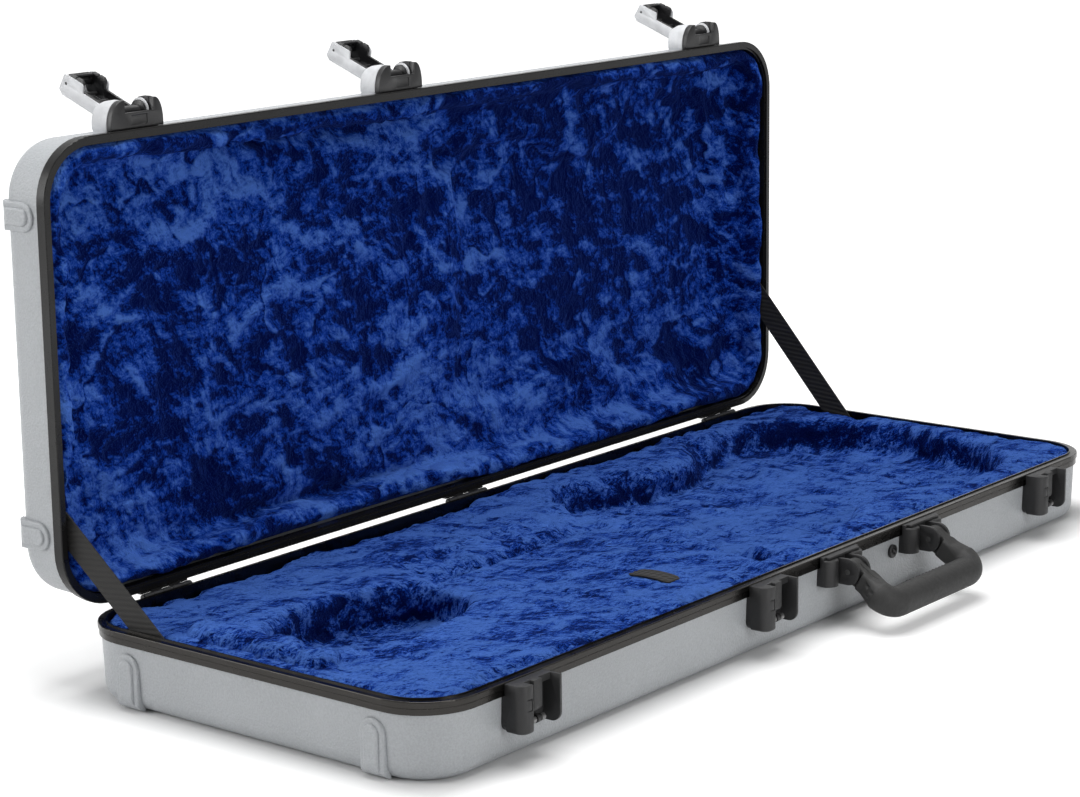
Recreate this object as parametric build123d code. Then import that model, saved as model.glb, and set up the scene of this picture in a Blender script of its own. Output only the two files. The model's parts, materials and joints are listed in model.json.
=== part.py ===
"""Electric guitar case, open, as separate pieces in millimetres.

X runs along the length, with the headstock end at -X. Y runs from the front (latches and
handle, -Y) to the hinges (+Y). Z is up, and the flat underside lies on z = 0. The lid's
pieces are drawn closed and then turned open about the hinge axis.
"""

from build123d import *
import math
import os

os.makedirs("parts", exist_ok=True)

# the whole case
case_length = 1050.0
case_width = 400.0
base_height = 68.0
lid_depth = 58.0
corner_radius = 53.0
rim_gap = 0.3

# moulded half shells
shell_wall = 3.2
shell_inset = 3.0
draft_angle = 2.0
edge_radius = 15.0
seat_gap = 0.3

# extruded rim on each half
rim_height = 11.0
rim_depth = 8.0
rim_cap = 3.2
rim_groove_height = 0.9
rim_groove_depth = 1.3
rim_groove_drop = 5.0
rim_band_step = 0.9
rim_edge_round = 1.0
rim_slot_gap = 0.1
lip_height = 1.2
lip_width = 1.1
lip_gap = 0.9

# moulded bumper ribs on the end walls
rib_side_gap = 64.0
rib_width = 25.0
rib_core_width = 15.0
rib_step = 2.2
rib_height_out = 4.4
rib_top_gap = 7.0
rib_edge_round = 1.8
rib_foot_round = 14.0

# hinges
hinge_left_gap = 115.0
hinge_middle_place = -4.0
hinge_right_gap = 101.0
hinge_width = 56.0
hinge_behind = 4.2
hinge_drop = 2.0
knuckle_count = 5
knuckle_gap = 0.4
wall_gap = 0.1
knuckle_radius = 3.2
hinge_pin_radius = 1.5
pin_gap = 0.05
leaf_thickness = 1.8
leaf_rim_gap = 0.4
base_leaf_height = 20.0
lid_leaf_height = 22.0
rivet_radius = 2.8
rivet_dome = 1.3
lid_open_angle = 90.0

# latches: the base housing
latch_left_gap = 114.5
latch_middle_place = -75.5
latch_right_gap = 116.5
channel_half = 16.5
housing_depth = 22.0
housing_left = 12.5
housing_right = 2.5
housing_top_drop = 1.0
housing_height = 40.0
housing_plate = 5.0
housing_round = 9.0
housing_foot_round = 3.6
housing_plate_round = 8.0
bridge_height = 5.5
bridge_depth = 7.5
keeper_width = 10.0
keeper_depth = 11.5
keeper_length = 21.0
keeper_shift = -4.0
roller_below_keeper = 7.5
roller_axis_out = 6.5
roller_radius = 2.2
roller_collar = 3.2
roller_span = 16.0
roller_lug = 4.0
tab_slit = 0.5
tab_height = 9.0
tab_length = 9.0

# latches: the lid saddle and its cover
saddle_lift = 5.0
saddle_frame_depth = 6.0
saddle_left = 16.2
saddle_right = 10.8
saddle_out = 24.4
saddle_block_out = 13.6
saddle_block_depth = 4.0
saddle_pocket = 1.5
cover_gap = 0.2
cover_length = 18.0
cover_plate = 2.6
cover_round = 9.0

# latches: lever, its frame, its trigger and its pivot
hub_out = 13.3
hub_lift = 19.8
hub_radius = 10.0
lever_half = 15.5
lever_face = 12.7
lever_length = 68.4
lever_root = 14.0
lever_step = 41.9
lever_wall_shallow = 11.5
lever_wall_deep = 18.7
lever_skin = 1.6
lever_open_angle = 158.4
lever_pin_radius = 2.0
lever_pin_into = 6.0
frame_side_gap = 0.2
frame_rail = 2.2
frame_bar_radius = 1.8
frame_hub_radius = 4.2
rail_crest = 2.4
catch_along = 60.5
catch_out = -4.8
catch_radius = 1.5
trigger_pivot_along = 61.5
trigger_pivot_out = 1.5
trigger_pin_radius = 1.3
trigger_wall = 1.8
trigger_side_gap = 0.4
trigger_top = 6.4
trigger_tip = 66.2

# handle
handle_middle = 105.5
bracket_spacing = 139.0
bracket_width = 58.0
bracket_height = 27.0
bracket_plate = 3.5
column_radius = 9.3
column_out = 12.0
column_top_drop = 2.6
ear_radius = 12.0
ear_thickness = 3.4
ear_arm_gap = 0.4
handle_pivot_out = 17.0
handle_pivot_drop = 16.0
handle_pin_radius = 2.5
arm_hub_radius = 10.5
arm_width = 20.0
arm_root_gap = 0.9
arm_root_half = 9.5
arm_flare_start = 20.0
arm_edge_round = 3.0
arm_length = 47.6
grip_radius = 13.8
grip_shift = 3.8
grip_turn = 14.2
grip_step = 0.6
handle_hang_angle = 31.4
strap_slot_width = 1.6
strap_slot_depth = 2.2
arm_slot_length = 7.0
arm_slot_width = 2.6
arm_slot_depth = 2.0
arm_slot_places = ((-3.6, 3.4), (4.0, 3.4), (0.6, -3.4))

# pressure plug
plug_place = 133.0
plug_drop = 23.5
plug_radius = 6.4
plug_out = 2.6
plug_core_radius = 3.4

# linings
lining_inset = 9.0
lining_top_drop = 5.0
lining_crown = 7.0
lining_bottom_round = 12.0
body_floor = 27.0
body_end_gap = 27.0
body_side_gap = 33.0
body_length = 473.0
recess_round = 10.0
neck_top_drop = 12.0
trough_head_gap = 2.0
trough_body_reach = 44.0
trough_pocket_front = 20.0
trough_pocket_back = 50.0
trough_corner = 30.0
trough_slope = 35.0
cushion_end_gap = 15.0
cushion_length = 34.0
cushion_width = 160.0
cushion_middle = 18.0
cushion_height = 10.0
cushion_corner = 16.0
cushion_crown = 9.0
head_floor = 22.0
head_end_gap = 58.0
head_length = 206.0
head_width = 128.0
head_middle = 10.0
block_gap = 3.0
block_middle = 5.0
head_round = 8.0
pocket_head_gap = 16.0
pocket_body_gap = 18.0
pocket_side_gap = 49.0
pocket_width = 188.0
pocket_floor = 13.0
pocket_ledge = 8.0
pocket_corner = 14.0
board_thickness = 3.0
board_gap = 1.2
pad_thickness = 9.0
pad_crown = 5.0
tab_offset = 18.0
tab_root_gap = 70.0
pull_tab_length = 46.0
pull_tab_width = 20.0
pull_tab_thickness = 1.6
lid_pad = 14.0
lid_side_pad = 13.0
lid_pad_start = 3.0
lid_pad_round = 11.0
lid_recess_depth = 6.0
lid_recess_inset = 12.0
patch_length = 104.0
patch_width = 40.0
patch_thickness = 6.0
patch_end_gap = 112.0
patch_back_gap = 47.0

# webbing stays
stay_width = 25.0
stay_thickness = 1.4
stay_rim_gap = 1.8
stay_hinge_gap = 107.2
stay_base_drop = 18.0
stay_left_lid_out = 18.8
stay_left_lid_rise = 85.5
stay_right_lid_out = 17.8
stay_right_lid_rise = 127.0
stay_end = 12.0
stay_notch_gap = 3.0
anchor_radius = 4.0
anchor_head = 1.4

half_length = case_length / 2
half_width = case_width / 2
wall_face = half_width - shell_inset
end_face = half_length - shell_inset
case_height = base_height + rim_gap + lid_depth
hinge_y = half_width + hinge_behind
hinge_z = base_height - hinge_drop
hinge_axis = Axis((0, hinge_y, hinge_z), (1, 0, 0))
lid_bottom = base_height + rim_gap
lining_end = half_length - lining_inset
lining_side = half_width - lining_inset
hinge_places = (hinge_left_gap - half_length, hinge_middle_place, half_length - hinge_right_gap)
latch_places = (latch_left_gap - half_length, latch_middle_place, half_length - latch_right_gap)
rib_offset = half_width - rib_side_gap
housing_bottom = base_height - housing_top_drop - housing_height
keeper_bottom = base_height - housing_top_drop - bridge_height - keeper_length
roller_height = keeper_bottom - roller_below_keeper
bracket_bottom = base_height - housing_top_drop - bracket_height
handle_pivot_height = base_height - handle_pivot_drop
plug_height = base_height - plug_drop
stay_base_y = hinge_y - stay_hinge_gap
stay_base_z = base_height - stay_base_drop
body_right = lining_end - body_end_gap
body_left = body_right - body_length
body_half = lining_side - body_side_gap
head_left = head_end_gap - lining_end
head_right = head_left + head_length
pocket_left = head_right + pocket_head_gap
pocket_right = body_left - pocket_body_gap
pocket_front = pocket_side_gap - lining_side
pocket_back = pocket_front + pocket_width


def save(name, shape):
    """Write one node as one STEP file."""
    export_step(shape, "parts/" + name + ".step")


def open_lid(shape):
    """Turn a piece drawn on the closed lid to the open lid."""
    return shape.rotate(hinge_axis, -lid_open_angle)


def box(x0, x1, y0, y1, z0, z1):
    """A box between two corners."""
    middle = ((x0 + x1) / 2, (y0 + y1) / 2, (z0 + z1) / 2)
    return Pos(*middle) * Box(abs(x1 - x0), abs(y1 - y0), abs(z1 - z0))


def rod(x0, x1, y, z, radius):
    """A cylinder along X."""
    turned = Rot(0, 90, 0) * Cylinder(radius, abs(x1 - x0))
    return Pos((x0 + x1) / 2, y, z) * turned


def plan_outline(inset):
    """The case's plan outline, drawn in by an inset."""
    radius = max(corner_radius - inset, 1.0)
    return RectangleRounded(case_length - 2 * inset, case_width - 2 * inset, radius)


def plan_slab(inset, z0, z1):
    """The plan outline as a slab between two heights."""
    return Pos(0, 0, z0) * extrude(plan_outline(inset), z1 - z0)


def plan_ring(outer_inset, inner_inset, z0, z1):
    """A ring between two insets of the plan outline."""
    inner = plan_slab(inner_inset, z0 - 1, z1 + 1)
    return plan_slab(outer_inset, z0, z1) - inner


def edges_at_height(shape, z):
    """The edges that lie at one height."""
    found = []
    for edge in shape.edges():
        bounds = edge.bounding_box()
        if abs(bounds.min.Z - z) < 1e-4 and abs(bounds.max.Z - z) < 1e-4:
            found.append(edge)
    return found


def tray_body(inset, depth, round_radius):
    """A half shell's outer or inner form: upright under the rim, drafted to its floor."""
    upright = plan_slab(inset, -rim_height, -rim_cap - rim_slot_gap)
    outline = Pos(0, 0, -rim_height) * plan_outline(inset)
    lower = extrude(outline, depth - rim_height, dir=(0, 0, -1), taper=draft_angle)
    lower = fillet(edges_at_height(lower, -depth), round_radius)
    return upright + lower


def rib_profile(width, drop, depth):
    """One rib's outline on an end wall: straight sides and a rounded top."""
    height = depth - drop
    sketch = RectangleRounded(width, height + width, width / 2 - 0.01)
    sketch = Pos(0, -drop - (height + width) / 2) * sketch
    return sketch & (Pos(0, -depth / 2) * Rectangle(2 * width, depth))


def end_rib(depth):
    """A two-step bumper rib on the +X end wall, at y = 0."""
    drop = rim_height + rib_top_gap
    inner_x = end_face - 2 * shell_wall
    plane = Plane(origin=(inner_x, 0, 0), x_dir=(0, 1, 0), z_dir=(1, 0, 0))
    reach = end_face - inner_x
    wide = extrude(plane * rib_profile(rib_width, drop, depth), reach + rib_step)
    step = (rib_width - rib_core_width) / 2
    core_profile = rib_profile(rib_core_width, drop + step, depth)
    core = extrude(plane * core_profile, reach + rib_height_out)
    wide = fillet(outer_face_edges(wide, inner_x + reach + rib_step, depth), rib_edge_round)
    core = fillet(outer_face_edges(core, inner_x + reach + rib_height_out, depth), rib_edge_round)
    tip = end_face + rib_height_out
    mask = box(0, tip, -rib_width, rib_width, -depth, 0)
    mask = fillet(edges_along(mask, 1, tip, -depth), rib_foot_round)
    return (wide + core) & mask


def outer_face_edges(shape, x, depth):
    """The edges round a rib's outer face, without the one at its foot."""
    found = []
    for edge in shape.edges():
        bounds = edge.bounding_box()
        on_face = abs(bounds.min.X - x) < 1e-4 and abs(bounds.max.X - x) < 1e-4
        if on_face and bounds.max.Z > -depth + 1e-3:
            found.append(edge)
    return found


def half_shell(depth):
    """A half shell with the mating plane at z = 0 and its floor below."""
    inner_inset = shell_inset + shell_wall
    inner = tray_body(inner_inset, depth - shell_wall, edge_radius - shell_wall)
    solid = tray_body(shell_inset, depth, edge_radius)
    rib = end_rib(depth)
    for side in (0, 180):
        for place in (-rib_offset, rib_offset):
            solid = solid + Rot(0, 0, side) * Pos(0, place, 0) * rib
    return solid - inner


def rim_ring():
    """The rim extrusion shared by both halves, with the mating plane at z = 0."""
    ring = plan_ring(0, rim_depth, -rim_height, 0)
    top_edges = edges_at_height(ring, 0)
    outer_top = [e for e in top_edges if reaches_outline(e, 0)]
    ring = fillet(outer_top, rim_edge_round)
    groove_top = -rim_groove_drop
    groove_low = groove_top - rim_groove_height
    ring = ring - plan_ring(-5, rim_groove_depth, groove_low, groove_top)
    ring = ring - plan_ring(-5, rim_band_step, -rim_height - 1, groove_low + 0.01)
    slot_outer = shell_inset - rim_slot_gap
    slot_inner = shell_inset + shell_wall + rim_slot_gap
    return ring - plan_ring(slot_outer, slot_inner, -rim_height - 1, -rim_cap)


def reaches_outline(edge, inset):
    """Whether an edge lies on the plan outline at an inset."""
    middle = edge.position_at(0.5)
    inner = plan_slab(inset + 0.01, -1, 1)
    return not inner.is_inside(Vector(middle.X, middle.Y, 0))


def base_rim():
    """The base's rim with the raised lip that locates the lid."""
    lip_inset = rim_depth - lip_width
    lip = plan_ring(lip_inset, rim_depth, -0.5, lip_height)
    return Pos(0, 0, base_height) * (rim_ring() + lip)


def lid_rim():
    """The lid's rim, stepped to clear the base's lip."""
    recess_inset = rim_depth - lip_width - lip_gap
    recess = plan_ring(recess_inset, rim_depth + 1, -(lip_height + lip_gap), 1)
    return flip_to_lid(rim_ring() - recess)


def flip_to_lid(shape):
    """Mirror a half drawn with its mating plane at z = 0 onto the closed lid."""
    return Pos(0, 0, lid_bottom) * mirror(shape, about=Plane.XY)


def base_wall_form(gap):
    """The base shell's outer form, grown by a gap, that wall pieces are cut to."""
    return Pos(0, 0, base_height) * tray_body(shell_inset - gap, base_height, edge_radius)


def lid_wall_form(gap):
    """The closed lid shell's outer form, grown by a gap."""
    return flip_to_lid(tray_body(shell_inset - gap, lid_depth, edge_radius))


def knuckles(place, odd):
    """Every other knuckle of one hinge barrel, as x ranges."""
    pitch = hinge_width / knuckle_count
    start = place - hinge_width / 2
    ranges = []
    for index in range(knuckle_count):
        if index % 2 == odd:
            low = start + index * pitch + (knuckle_gap / 2 if index else 0)
            last = index == knuckle_count - 1
            high = start + (index + 1) * pitch - (0 if last else knuckle_gap / 2)
            ranges.append((low, high))
    return ranges


def hinge_base_leaf(place):
    """The leaf on the base's back, with three knuckles."""
    low = place - hinge_width / 2
    high = place + hinge_width / 2
    bottom = base_height - base_leaf_height
    plate_top = hinge_z - knuckle_radius - 0.2
    leaf = box(low, high, half_width + 0.05, half_width + leaf_thickness, bottom, plate_top)
    spacer_top = base_height - rim_height - 0.15
    spacer = box(low, high, wall_face - 3, half_width + 0.1, bottom, spacer_top)
    leaf = leaf + (spacer - base_wall_form(wall_gap))
    for x0, x1 in knuckles(place, 0):
        web_inner = half_width + leaf_rim_gap
        web = box(x0, x1, web_inner, half_width + leaf_thickness, plate_top - 1, hinge_z)
        leaf = leaf + web + rod(x0, x1, hinge_y, hinge_z, knuckle_radius)
    return leaf - rod(low - 1, high + 1, hinge_y, hinge_z, hinge_pin_radius + pin_gap)


def hinge_lid_leaf(place):
    """The leaf on the closed lid's back, with two knuckles."""
    low = place - hinge_width / 2
    high = place + hinge_width / 2
    top = lid_bottom + lid_leaf_height
    face = half_width + 0.05
    outer = half_width + leaf_thickness
    leaf = box(low, high, face, outer, lid_bottom + 0.7, top)
    spacer_low = lid_bottom + rim_height + 0.15
    spacer = box(low, high, wall_face - 3, half_width + 0.1, spacer_low, top)
    leaf = leaf + (spacer - lid_wall_form(wall_gap))
    for x0, x1 in knuckles(place, 1):
        web_inner = half_width + leaf_rim_gap
        web = box(x0, x1, web_inner, outer, hinge_z, lid_bottom + 1.7)
        leaf = leaf + web + rod(x0, x1, hinge_y, hinge_z, knuckle_radius)
    return leaf - rod(low - 1, high + 1, hinge_y, hinge_z, hinge_pin_radius + pin_gap)


def hinge_pin(place):
    """A hinge pin with a flat head at each end of the barrel."""
    low = place - hinge_width / 2 - 0.2
    high = place + hinge_width / 2 + 0.2
    pin = rod(low, high, hinge_y, hinge_z, hinge_pin_radius)
    head = hinge_pin_radius + 0.9
    pin = pin + rod(low - 1, low, hinge_y, hinge_z, head)
    return pin + rod(high, high + 1, hinge_y, hinge_z, head)


def rivet(radius, dome):
    """A low domed rivet head standing on z = 0."""
    ball = (radius * radius + dome * dome) / (2 * dome)
    sphere = Pos(0, 0, dome - ball) * Sphere(ball)
    return sphere & (Pos(0, 0, dome) * Cylinder(radius + 1, 2 * dome))


def hinge_rivets(z):
    """Two rivet heads on each hinge leaf, on the back face, at one height."""
    heads = []
    for place in hinge_places:
        for side in (-1, 1):
            x = place + side * (hinge_width / 2 - 9)
            seat = Pos(x, half_width + leaf_thickness, z) * Rot(-90, 0, 0)
            heads.append(seat * rivet(rivet_radius, rivet_dome))
    return heads


def group(solids):
    """Separate solids that share one node."""
    return Compound(children=[Solid(s.solids()[0].wrapped) for s in solids])


def housing(place):
    """A latch's base housing: two cheeks, a channel, a bridge and a keeper."""
    front = -(wall_face + housing_depth)
    plate_front = -(wall_face + housing_plate)
    top = base_height - housing_top_drop
    inner_left = place - channel_half
    inner_right = place + channel_half
    left = inner_left - housing_left
    right = inner_right + housing_right
    left_cheek = box(left, inner_left, front, plate_front + 1, housing_bottom, top)
    column = edges_along(left_cheek, 2, left, front)
    left_cheek = fillet(column, housing_round)
    foot = [e for e in edges_at_height(left_cheek, housing_bottom)]
    foot = [e for e in foot if e.center().Y < plate_front and e.center().X < inner_left - 0.5]
    left_cheek = fillet(foot, housing_foot_round)
    right_cheek = box(inner_right, right, front, plate_front + 1, housing_bottom, top)
    corner = edges_along(right_cheek, 0, front, housing_bottom)
    right_cheek = fillet(corner, housing_round)
    plate = housing_back(left, right, plate_front, top)
    bridge_front = plate_front - bridge_depth
    bridge = box(inner_left, inner_right, bridge_front, plate_front, top - bridge_height, top)
    keeper_x = place + keeper_shift
    half = keeper_width / 2
    keeper_front = plate_front - keeper_depth
    keeper = box(keeper_x - half, keeper_x + half, keeper_front, plate_front, keeper_bottom, top)
    keeper = fillet(edges_along(keeper, 0, keeper_front, keeper_bottom), half)
    lug_top = roller_height + roller_radius + 1.2
    lug_low = roller_height - roller_radius - 1.2
    roller_y = plate_front - roller_axis_out
    lug_half = roller_lug / 2
    lug = box(place - lug_half, place + lug_half, roller_y, plate_front, lug_low, lug_top)
    lug = lug + rod(place - lug_half, place + lug_half, roller_y, roller_height, roller_radius + 1.2)
    body = left_cheek + right_cheek + plate + bridge + keeper + lug
    bore = roller_radius + pin_gap
    hole = rod(place - roller_span, place + roller_span, roller_y, roller_height, bore)
    hole = hole & box(place - 4, place + 4, roller_y - 8, roller_y + 8, 0, base_height)
    body = body - hole
    slit_z = (housing_bottom + top) / 2 + 4
    slit_x0 = inner_left - 1.2 - tab_length
    slit_x1 = inner_left - 1.2
    for z in (slit_z - tab_height / 2, slit_z + tab_height / 2):
        body = body - box(slit_x0, slit_x1, front - 1, front + 0.8, z - tab_slit, z + tab_slit)
    low = slit_z - tab_height / 2 - tab_slit
    high = slit_z + tab_height / 2 + tab_slit
    return body - box(slit_x1 - 2 * tab_slit, slit_x1, front - 1, front + 0.8, low, high)


def housing_back(left, right, plate_front, top):
    """The housing's plate against the wall and the rim, with rounded lower corners."""
    rim_low = base_height - rim_height
    plate = box(left, right, plate_front, 4 - wall_face, housing_bottom, rim_low - 0.15)
    corners = edges_along(plate, 1, left, housing_bottom) + edges_along(plate, 1, right, housing_bottom)
    plate = fillet(corners, housing_plate_round)
    plate = plate - base_wall_form(wall_gap)
    return plate + box(left, right, plate_front, -(half_width + 0.1), rim_low - 1, top)


def edges_along(shape, axis, first, second):
    """The straight edges along one axis (0 X, 1 Y, 2 Z) at two coordinates of the others."""
    found = []
    for edge in shape.edges():
        a = edge.position_at(0)
        b = edge.position_at(1)
        span = (abs(a.X - b.X), abs(a.Y - b.Y), abs(a.Z - b.Z))
        if span[axis] < 1e-3 or sum(span) - span[axis] > 1e-3:
            continue
        here = ((a.Y, a.Z), (a.X, a.Z), (a.X, a.Y))[axis]
        if abs(here[0] - first) < 1e-3 and abs(here[1] - second) < 1e-3:
            found.append(edge)
    return found


def roller(place):
    """The cross pin that a lever's catch grips, with a collar at each end."""
    y = -(wall_face + housing_plate + roller_axis_out)
    half = roller_span / 2
    lug_half = roller_lug / 2 + 0.2
    pin = rod(place - half, place + half, y, roller_height, roller_radius)
    left = rod(place - half, place - lug_half - 1.5, y, roller_height, roller_collar)
    right = rod(place + lug_half + 1.5, place + half, y, roller_height, roller_collar)
    return pin + left + right


def saddle_outline(place, out, trim):
    """The plan form of a lid saddle: two rounded cheeks on the front wall."""
    left = place - channel_half - saddle_left + trim
    right = place + channel_half + saddle_right - trim
    front = -(half_width + out - trim)
    back = -(half_width + 0.1)
    left_round = place - channel_half - 2
    right_round = place + channel_half + 2
    line = Polyline((right, back), (left, back), (left, back - 4))
    reach = back - 4 - front
    left_reach = left_round - left
    left_arc = EllipticalCenterArc((left_round, back - 4), left_reach, reach, 180, arc_size=90)
    flat = Line((left_round, front), (right_round, front))
    right_reach = right - right_round
    right_arc = EllipticalCenterArc((right_round, back - 4), right_reach, reach, 270, arc_size=90)
    closing = Line((right, back - 4), (right, back))
    return make_face([line, left_arc, flat, right_arc, closing])


def saddle(place):
    """A lid latch's dark front frame, drawn on the closed lid."""
    z0 = base_height + saddle_lift
    z1 = z0 + saddle_frame_depth
    body = Pos(0, 0, z0) * extrude(saddle_outline(place, saddle_out, 0), saddle_frame_depth)
    low = place - channel_half
    high = place + channel_half
    block_front = -(half_width + saddle_block_out)
    body = body - box(low, high, -(half_width + 40), block_front, z0 - 1, z1 + 1)
    block_top = z0 + saddle_block_depth
    body = body - box(low, high, -(half_width + 40), -(half_width + 1.5), block_top, z1 + 1)
    pocket_front = block_front + 2.5
    pocket_back = -(half_width + 3)
    pocket = box(place - 9, place + 9, pocket_front, pocket_back, z0 - 1, z0 + saddle_pocket)
    return body - pocket


def saddle_cover(place):
    """A lid latch's light cover: two rounded cheeks that carry the lever's pivot."""
    z0 = base_height + saddle_lift + saddle_frame_depth + cover_gap
    z1 = z0 + cover_length
    body = Pos(0, 0, z0) * extrude(saddle_outline(place, saddle_out, 0), cover_length)
    front = -(half_width + saddle_out)
    profile = Plane.YZ * make_face(
        Polyline(
            (front - 1, z0 - 1),
            (0, z0 - 1),
            (0, z1 + 1),
            (front + cover_round, z1 + 1),
            (front + cover_round, z1),
            (front + cover_round * 0.45, z1 - cover_round * 0.25),
            (front + cover_round * 0.12, z1 - cover_round * 0.7),
            (front, z1 - cover_round * 1.3),
            (front - 1, z1 - cover_round * 1.3),
            close=True,
        )
    )
    keep = extrude(profile, 80, both=True)
    body = body & (Pos(place, 0, 0) * keep)
    low = place - channel_half
    high = place + channel_half
    floor_y = -(half_width + cover_plate)
    body = body - box(low, high, -(half_width + 40), floor_y, z0 - 1, z1 + 1)
    rim_top = lid_bottom + rim_height
    wall_block = box(
        place - channel_half - saddle_left + 1,
        place + channel_half + saddle_right - 1,
        -(half_width + 0.2),
        4 - wall_face,
        rim_top + 0.15,
        z1,
    )
    body = body + (wall_block - lid_wall_form(wall_gap))
    pin_reach = channel_half + lever_pin_into
    hole = rod(place - pin_reach, place + pin_reach, hub_y(), hub_z(), lever_pin_radius + pin_gap)
    return body - hole


def hub_y():
    """The lever pivot's distance in front of the closed lid."""
    return -(half_width + hub_out)


def hub_z():
    """The lever pivot's height on the closed lid."""
    return base_height + hub_lift


def lever_plane(place):
    """The plane of a closed lever's side profile: local x runs down, local y outwards."""
    origin = (place, hub_y(), hub_z())
    return Plane(origin=origin, x_dir=(0, 0, -1), z_dir=(-1, 0, 0))


def lever_profile(skin):
    """A lever's side profile, drawn in by a skin."""
    face = lever_face - skin
    shallow = lever_face - lever_wall_shallow
    deep = lever_face - lever_wall_deep
    end = lever_length - skin
    outline = Polyline(
        (-1.0, hub_radius - 0.4 - skin),
        (lever_root, face),
        (end - 5, face),
        (end, face - 3.5),
        (end - 2.5, deep + 1.0),
        (end - 5.0, deep),
        (lever_step + 1.5, deep),
        (lever_step, deep + 1.5),
        (lever_step - 1.5, shallow),
        (3.0, shallow),
        (-1.0, 0.0),
        close=True,
    )
    return make_face(outline)


def lever(place):
    """A latch's closed lever: a light channel with a rounded hub."""
    plane = lever_plane(place)
    body = extrude(plane * lever_profile(0), lever_half, both=True)
    hub = rod(place - lever_half, place + lever_half, hub_y(), hub_z(), hub_radius)
    inner_half = lever_half - lever_skin
    face = lever_face - lever_skin
    hub_room = hub_radius - lever_skin
    room = Polyline(
        (0, hub_room),
        (lever_root, face),
        (lever_length - lever_skin - 5, face),
        (lever_length - lever_skin, face - 3.5),
        (lever_length + 6, -20),
        (-hub_radius - 1, -20),
        (-hub_radius - 1, 0),
        (0, 0),
        close=True,
    )
    hollow = extrude(plane * make_face(room), inner_half, both=True)
    hollow = hollow + rod(place - inner_half, place + inner_half, hub_y(), hub_z(), hub_room)
    body = body + hub - hollow
    hole = rod(place - 30, place + 30, hub_y(), hub_z(), lever_pin_radius + pin_gap)
    pivot = plane.from_local_coords(Vector(trigger_pivot_along, trigger_pivot_out, 0))
    small = rod(place - 30, place + 30, pivot.Y, pivot.Z, trigger_pin_radius + pin_gap)
    return body - hole - small


def local_rod(place, along, out, half, radius):
    """A cylinder along X at a point of the closed lever's side profile."""
    point = lever_plane(place).from_local_coords(Vector(along, out, 0))
    return rod(place - half, place + half, point.Y, point.Z, radius)


def lever_frame(place):
    """The dark frame inside a lever: two rails, cross bars and the catch."""
    plane = lever_plane(place)
    outer = lever_half - lever_skin - frame_side_gap
    inner = outer - frame_rail
    face = lever_face - lever_skin - frame_side_gap
    deep = lever_face - lever_wall_deep
    shallow = lever_face - lever_wall_shallow
    disc_radius = hub_radius - lever_skin - frame_side_gap
    crest = deep - rail_crest
    rail = Polyline(
        (0, disc_radius),
        (lever_root, face),
        (lever_length - 7.4, face),
        (lever_length - 3.4, face - 3.5),
        (lever_length - 3.4, deep + 1.4),
        (lever_length - 5.9, deep - 0.2),
        (lever_length - 8.0, deep - 0.2),
        (lever_length - 8.8, crest + 0.6),
        (lever_length - 15.0, crest + 0.2),
        (lever_length - 16.0, deep - 0.4),
        (lever_length - 17.2, crest),
        (lever_step + 4, crest),
        (lever_step + 1.6, crest + 1.6),
        (lever_step + 1, shallow - 0.5),
        (hub_radius - 2, shallow - 0.2),
        (0, -disc_radius * 0.6),
        close=True,
    )
    slab = extrude(plane * make_face(rail), outer, both=True)
    slab = slab + rod(place - outer, place + outer, hub_y(), hub_z(), disc_radius)
    slab = slab - extrude(plane * (Pos(40, 0) * Rectangle(140, 80)), inner, both=True)
    reach = outer - 0.5
    slab = slab + rod(place - reach, place + reach, hub_y(), hub_z(), frame_hub_radius)
    slab = slab + local_rod(place, 22, face - 3.5, reach, frame_bar_radius)
    slab = slab + local_rod(place, 36, face - 2.4, reach, frame_bar_radius)
    slab = slab + local_rod(place, 51, face - 2.4, reach, frame_bar_radius)
    slab = slab + local_rod(place, catch_along, catch_out, reach, catch_radius)
    web = Polyline((22, face - 4.2), (51, face - 3.1), (51, face - 1.7), (22, face - 2.8), close=True)
    slab = slab + extrude(plane * make_face(web), 4.5, both=True)
    slab = slab - rod(place - 30, place + 30, hub_y(), hub_z(), lever_pin_radius + pin_gap)
    bore = trigger_pin_radius + pin_gap
    return slab - local_rod(place, trigger_pivot_along, trigger_pivot_out, 30, bore)


def trigger(place):
    """The small trigger at a lever's tip, closed, with its pivot stubs."""
    plane = lever_plane(place)
    outer = lever_half - lever_skin - frame_side_gap - frame_rail - trigger_side_gap
    deep = lever_face - lever_wall_deep
    start = trigger_pivot_along
    form = Polyline(
        (start - 2.4, trigger_pivot_out - 2.2),
        (start + 2.2, trigger_pivot_out - 2.2),
        (trigger_tip - trigger_wall - 1.2, deep + 0.6),
        (trigger_tip - 1.2, deep + 0.6),
        (trigger_tip, trigger_top - 2.8),
        (trigger_tip - 1.0, trigger_top),
        (trigger_tip - 1.0 - trigger_wall, trigger_top),
        (start + 2.2, trigger_pivot_out + 2.4),
        (start - 2.4, trigger_pivot_out + 2.4),
        close=True,
    )
    body = extrude(plane * make_face(form), outer, both=True)
    reach = lever_half - 0.1
    return body + local_rod(place, trigger_pivot_along, trigger_pivot_out, reach, trigger_pin_radius)


def lever_pin(place):
    """The pin through a saddle cover's cheeks and the lever's hub."""
    reach = channel_half + lever_pin_into - 0.4
    return rod(place - reach, place + reach, hub_y(), hub_z(), lever_pin_radius)


def fold_lever(shape):
    """Turn a closed lever piece to its folded-back place, then open the lid."""
    axis = Axis((0, hub_y(), hub_z()), (1, 0, 0))
    return open_lid(shape.rotate(axis, -lever_open_angle))


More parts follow.
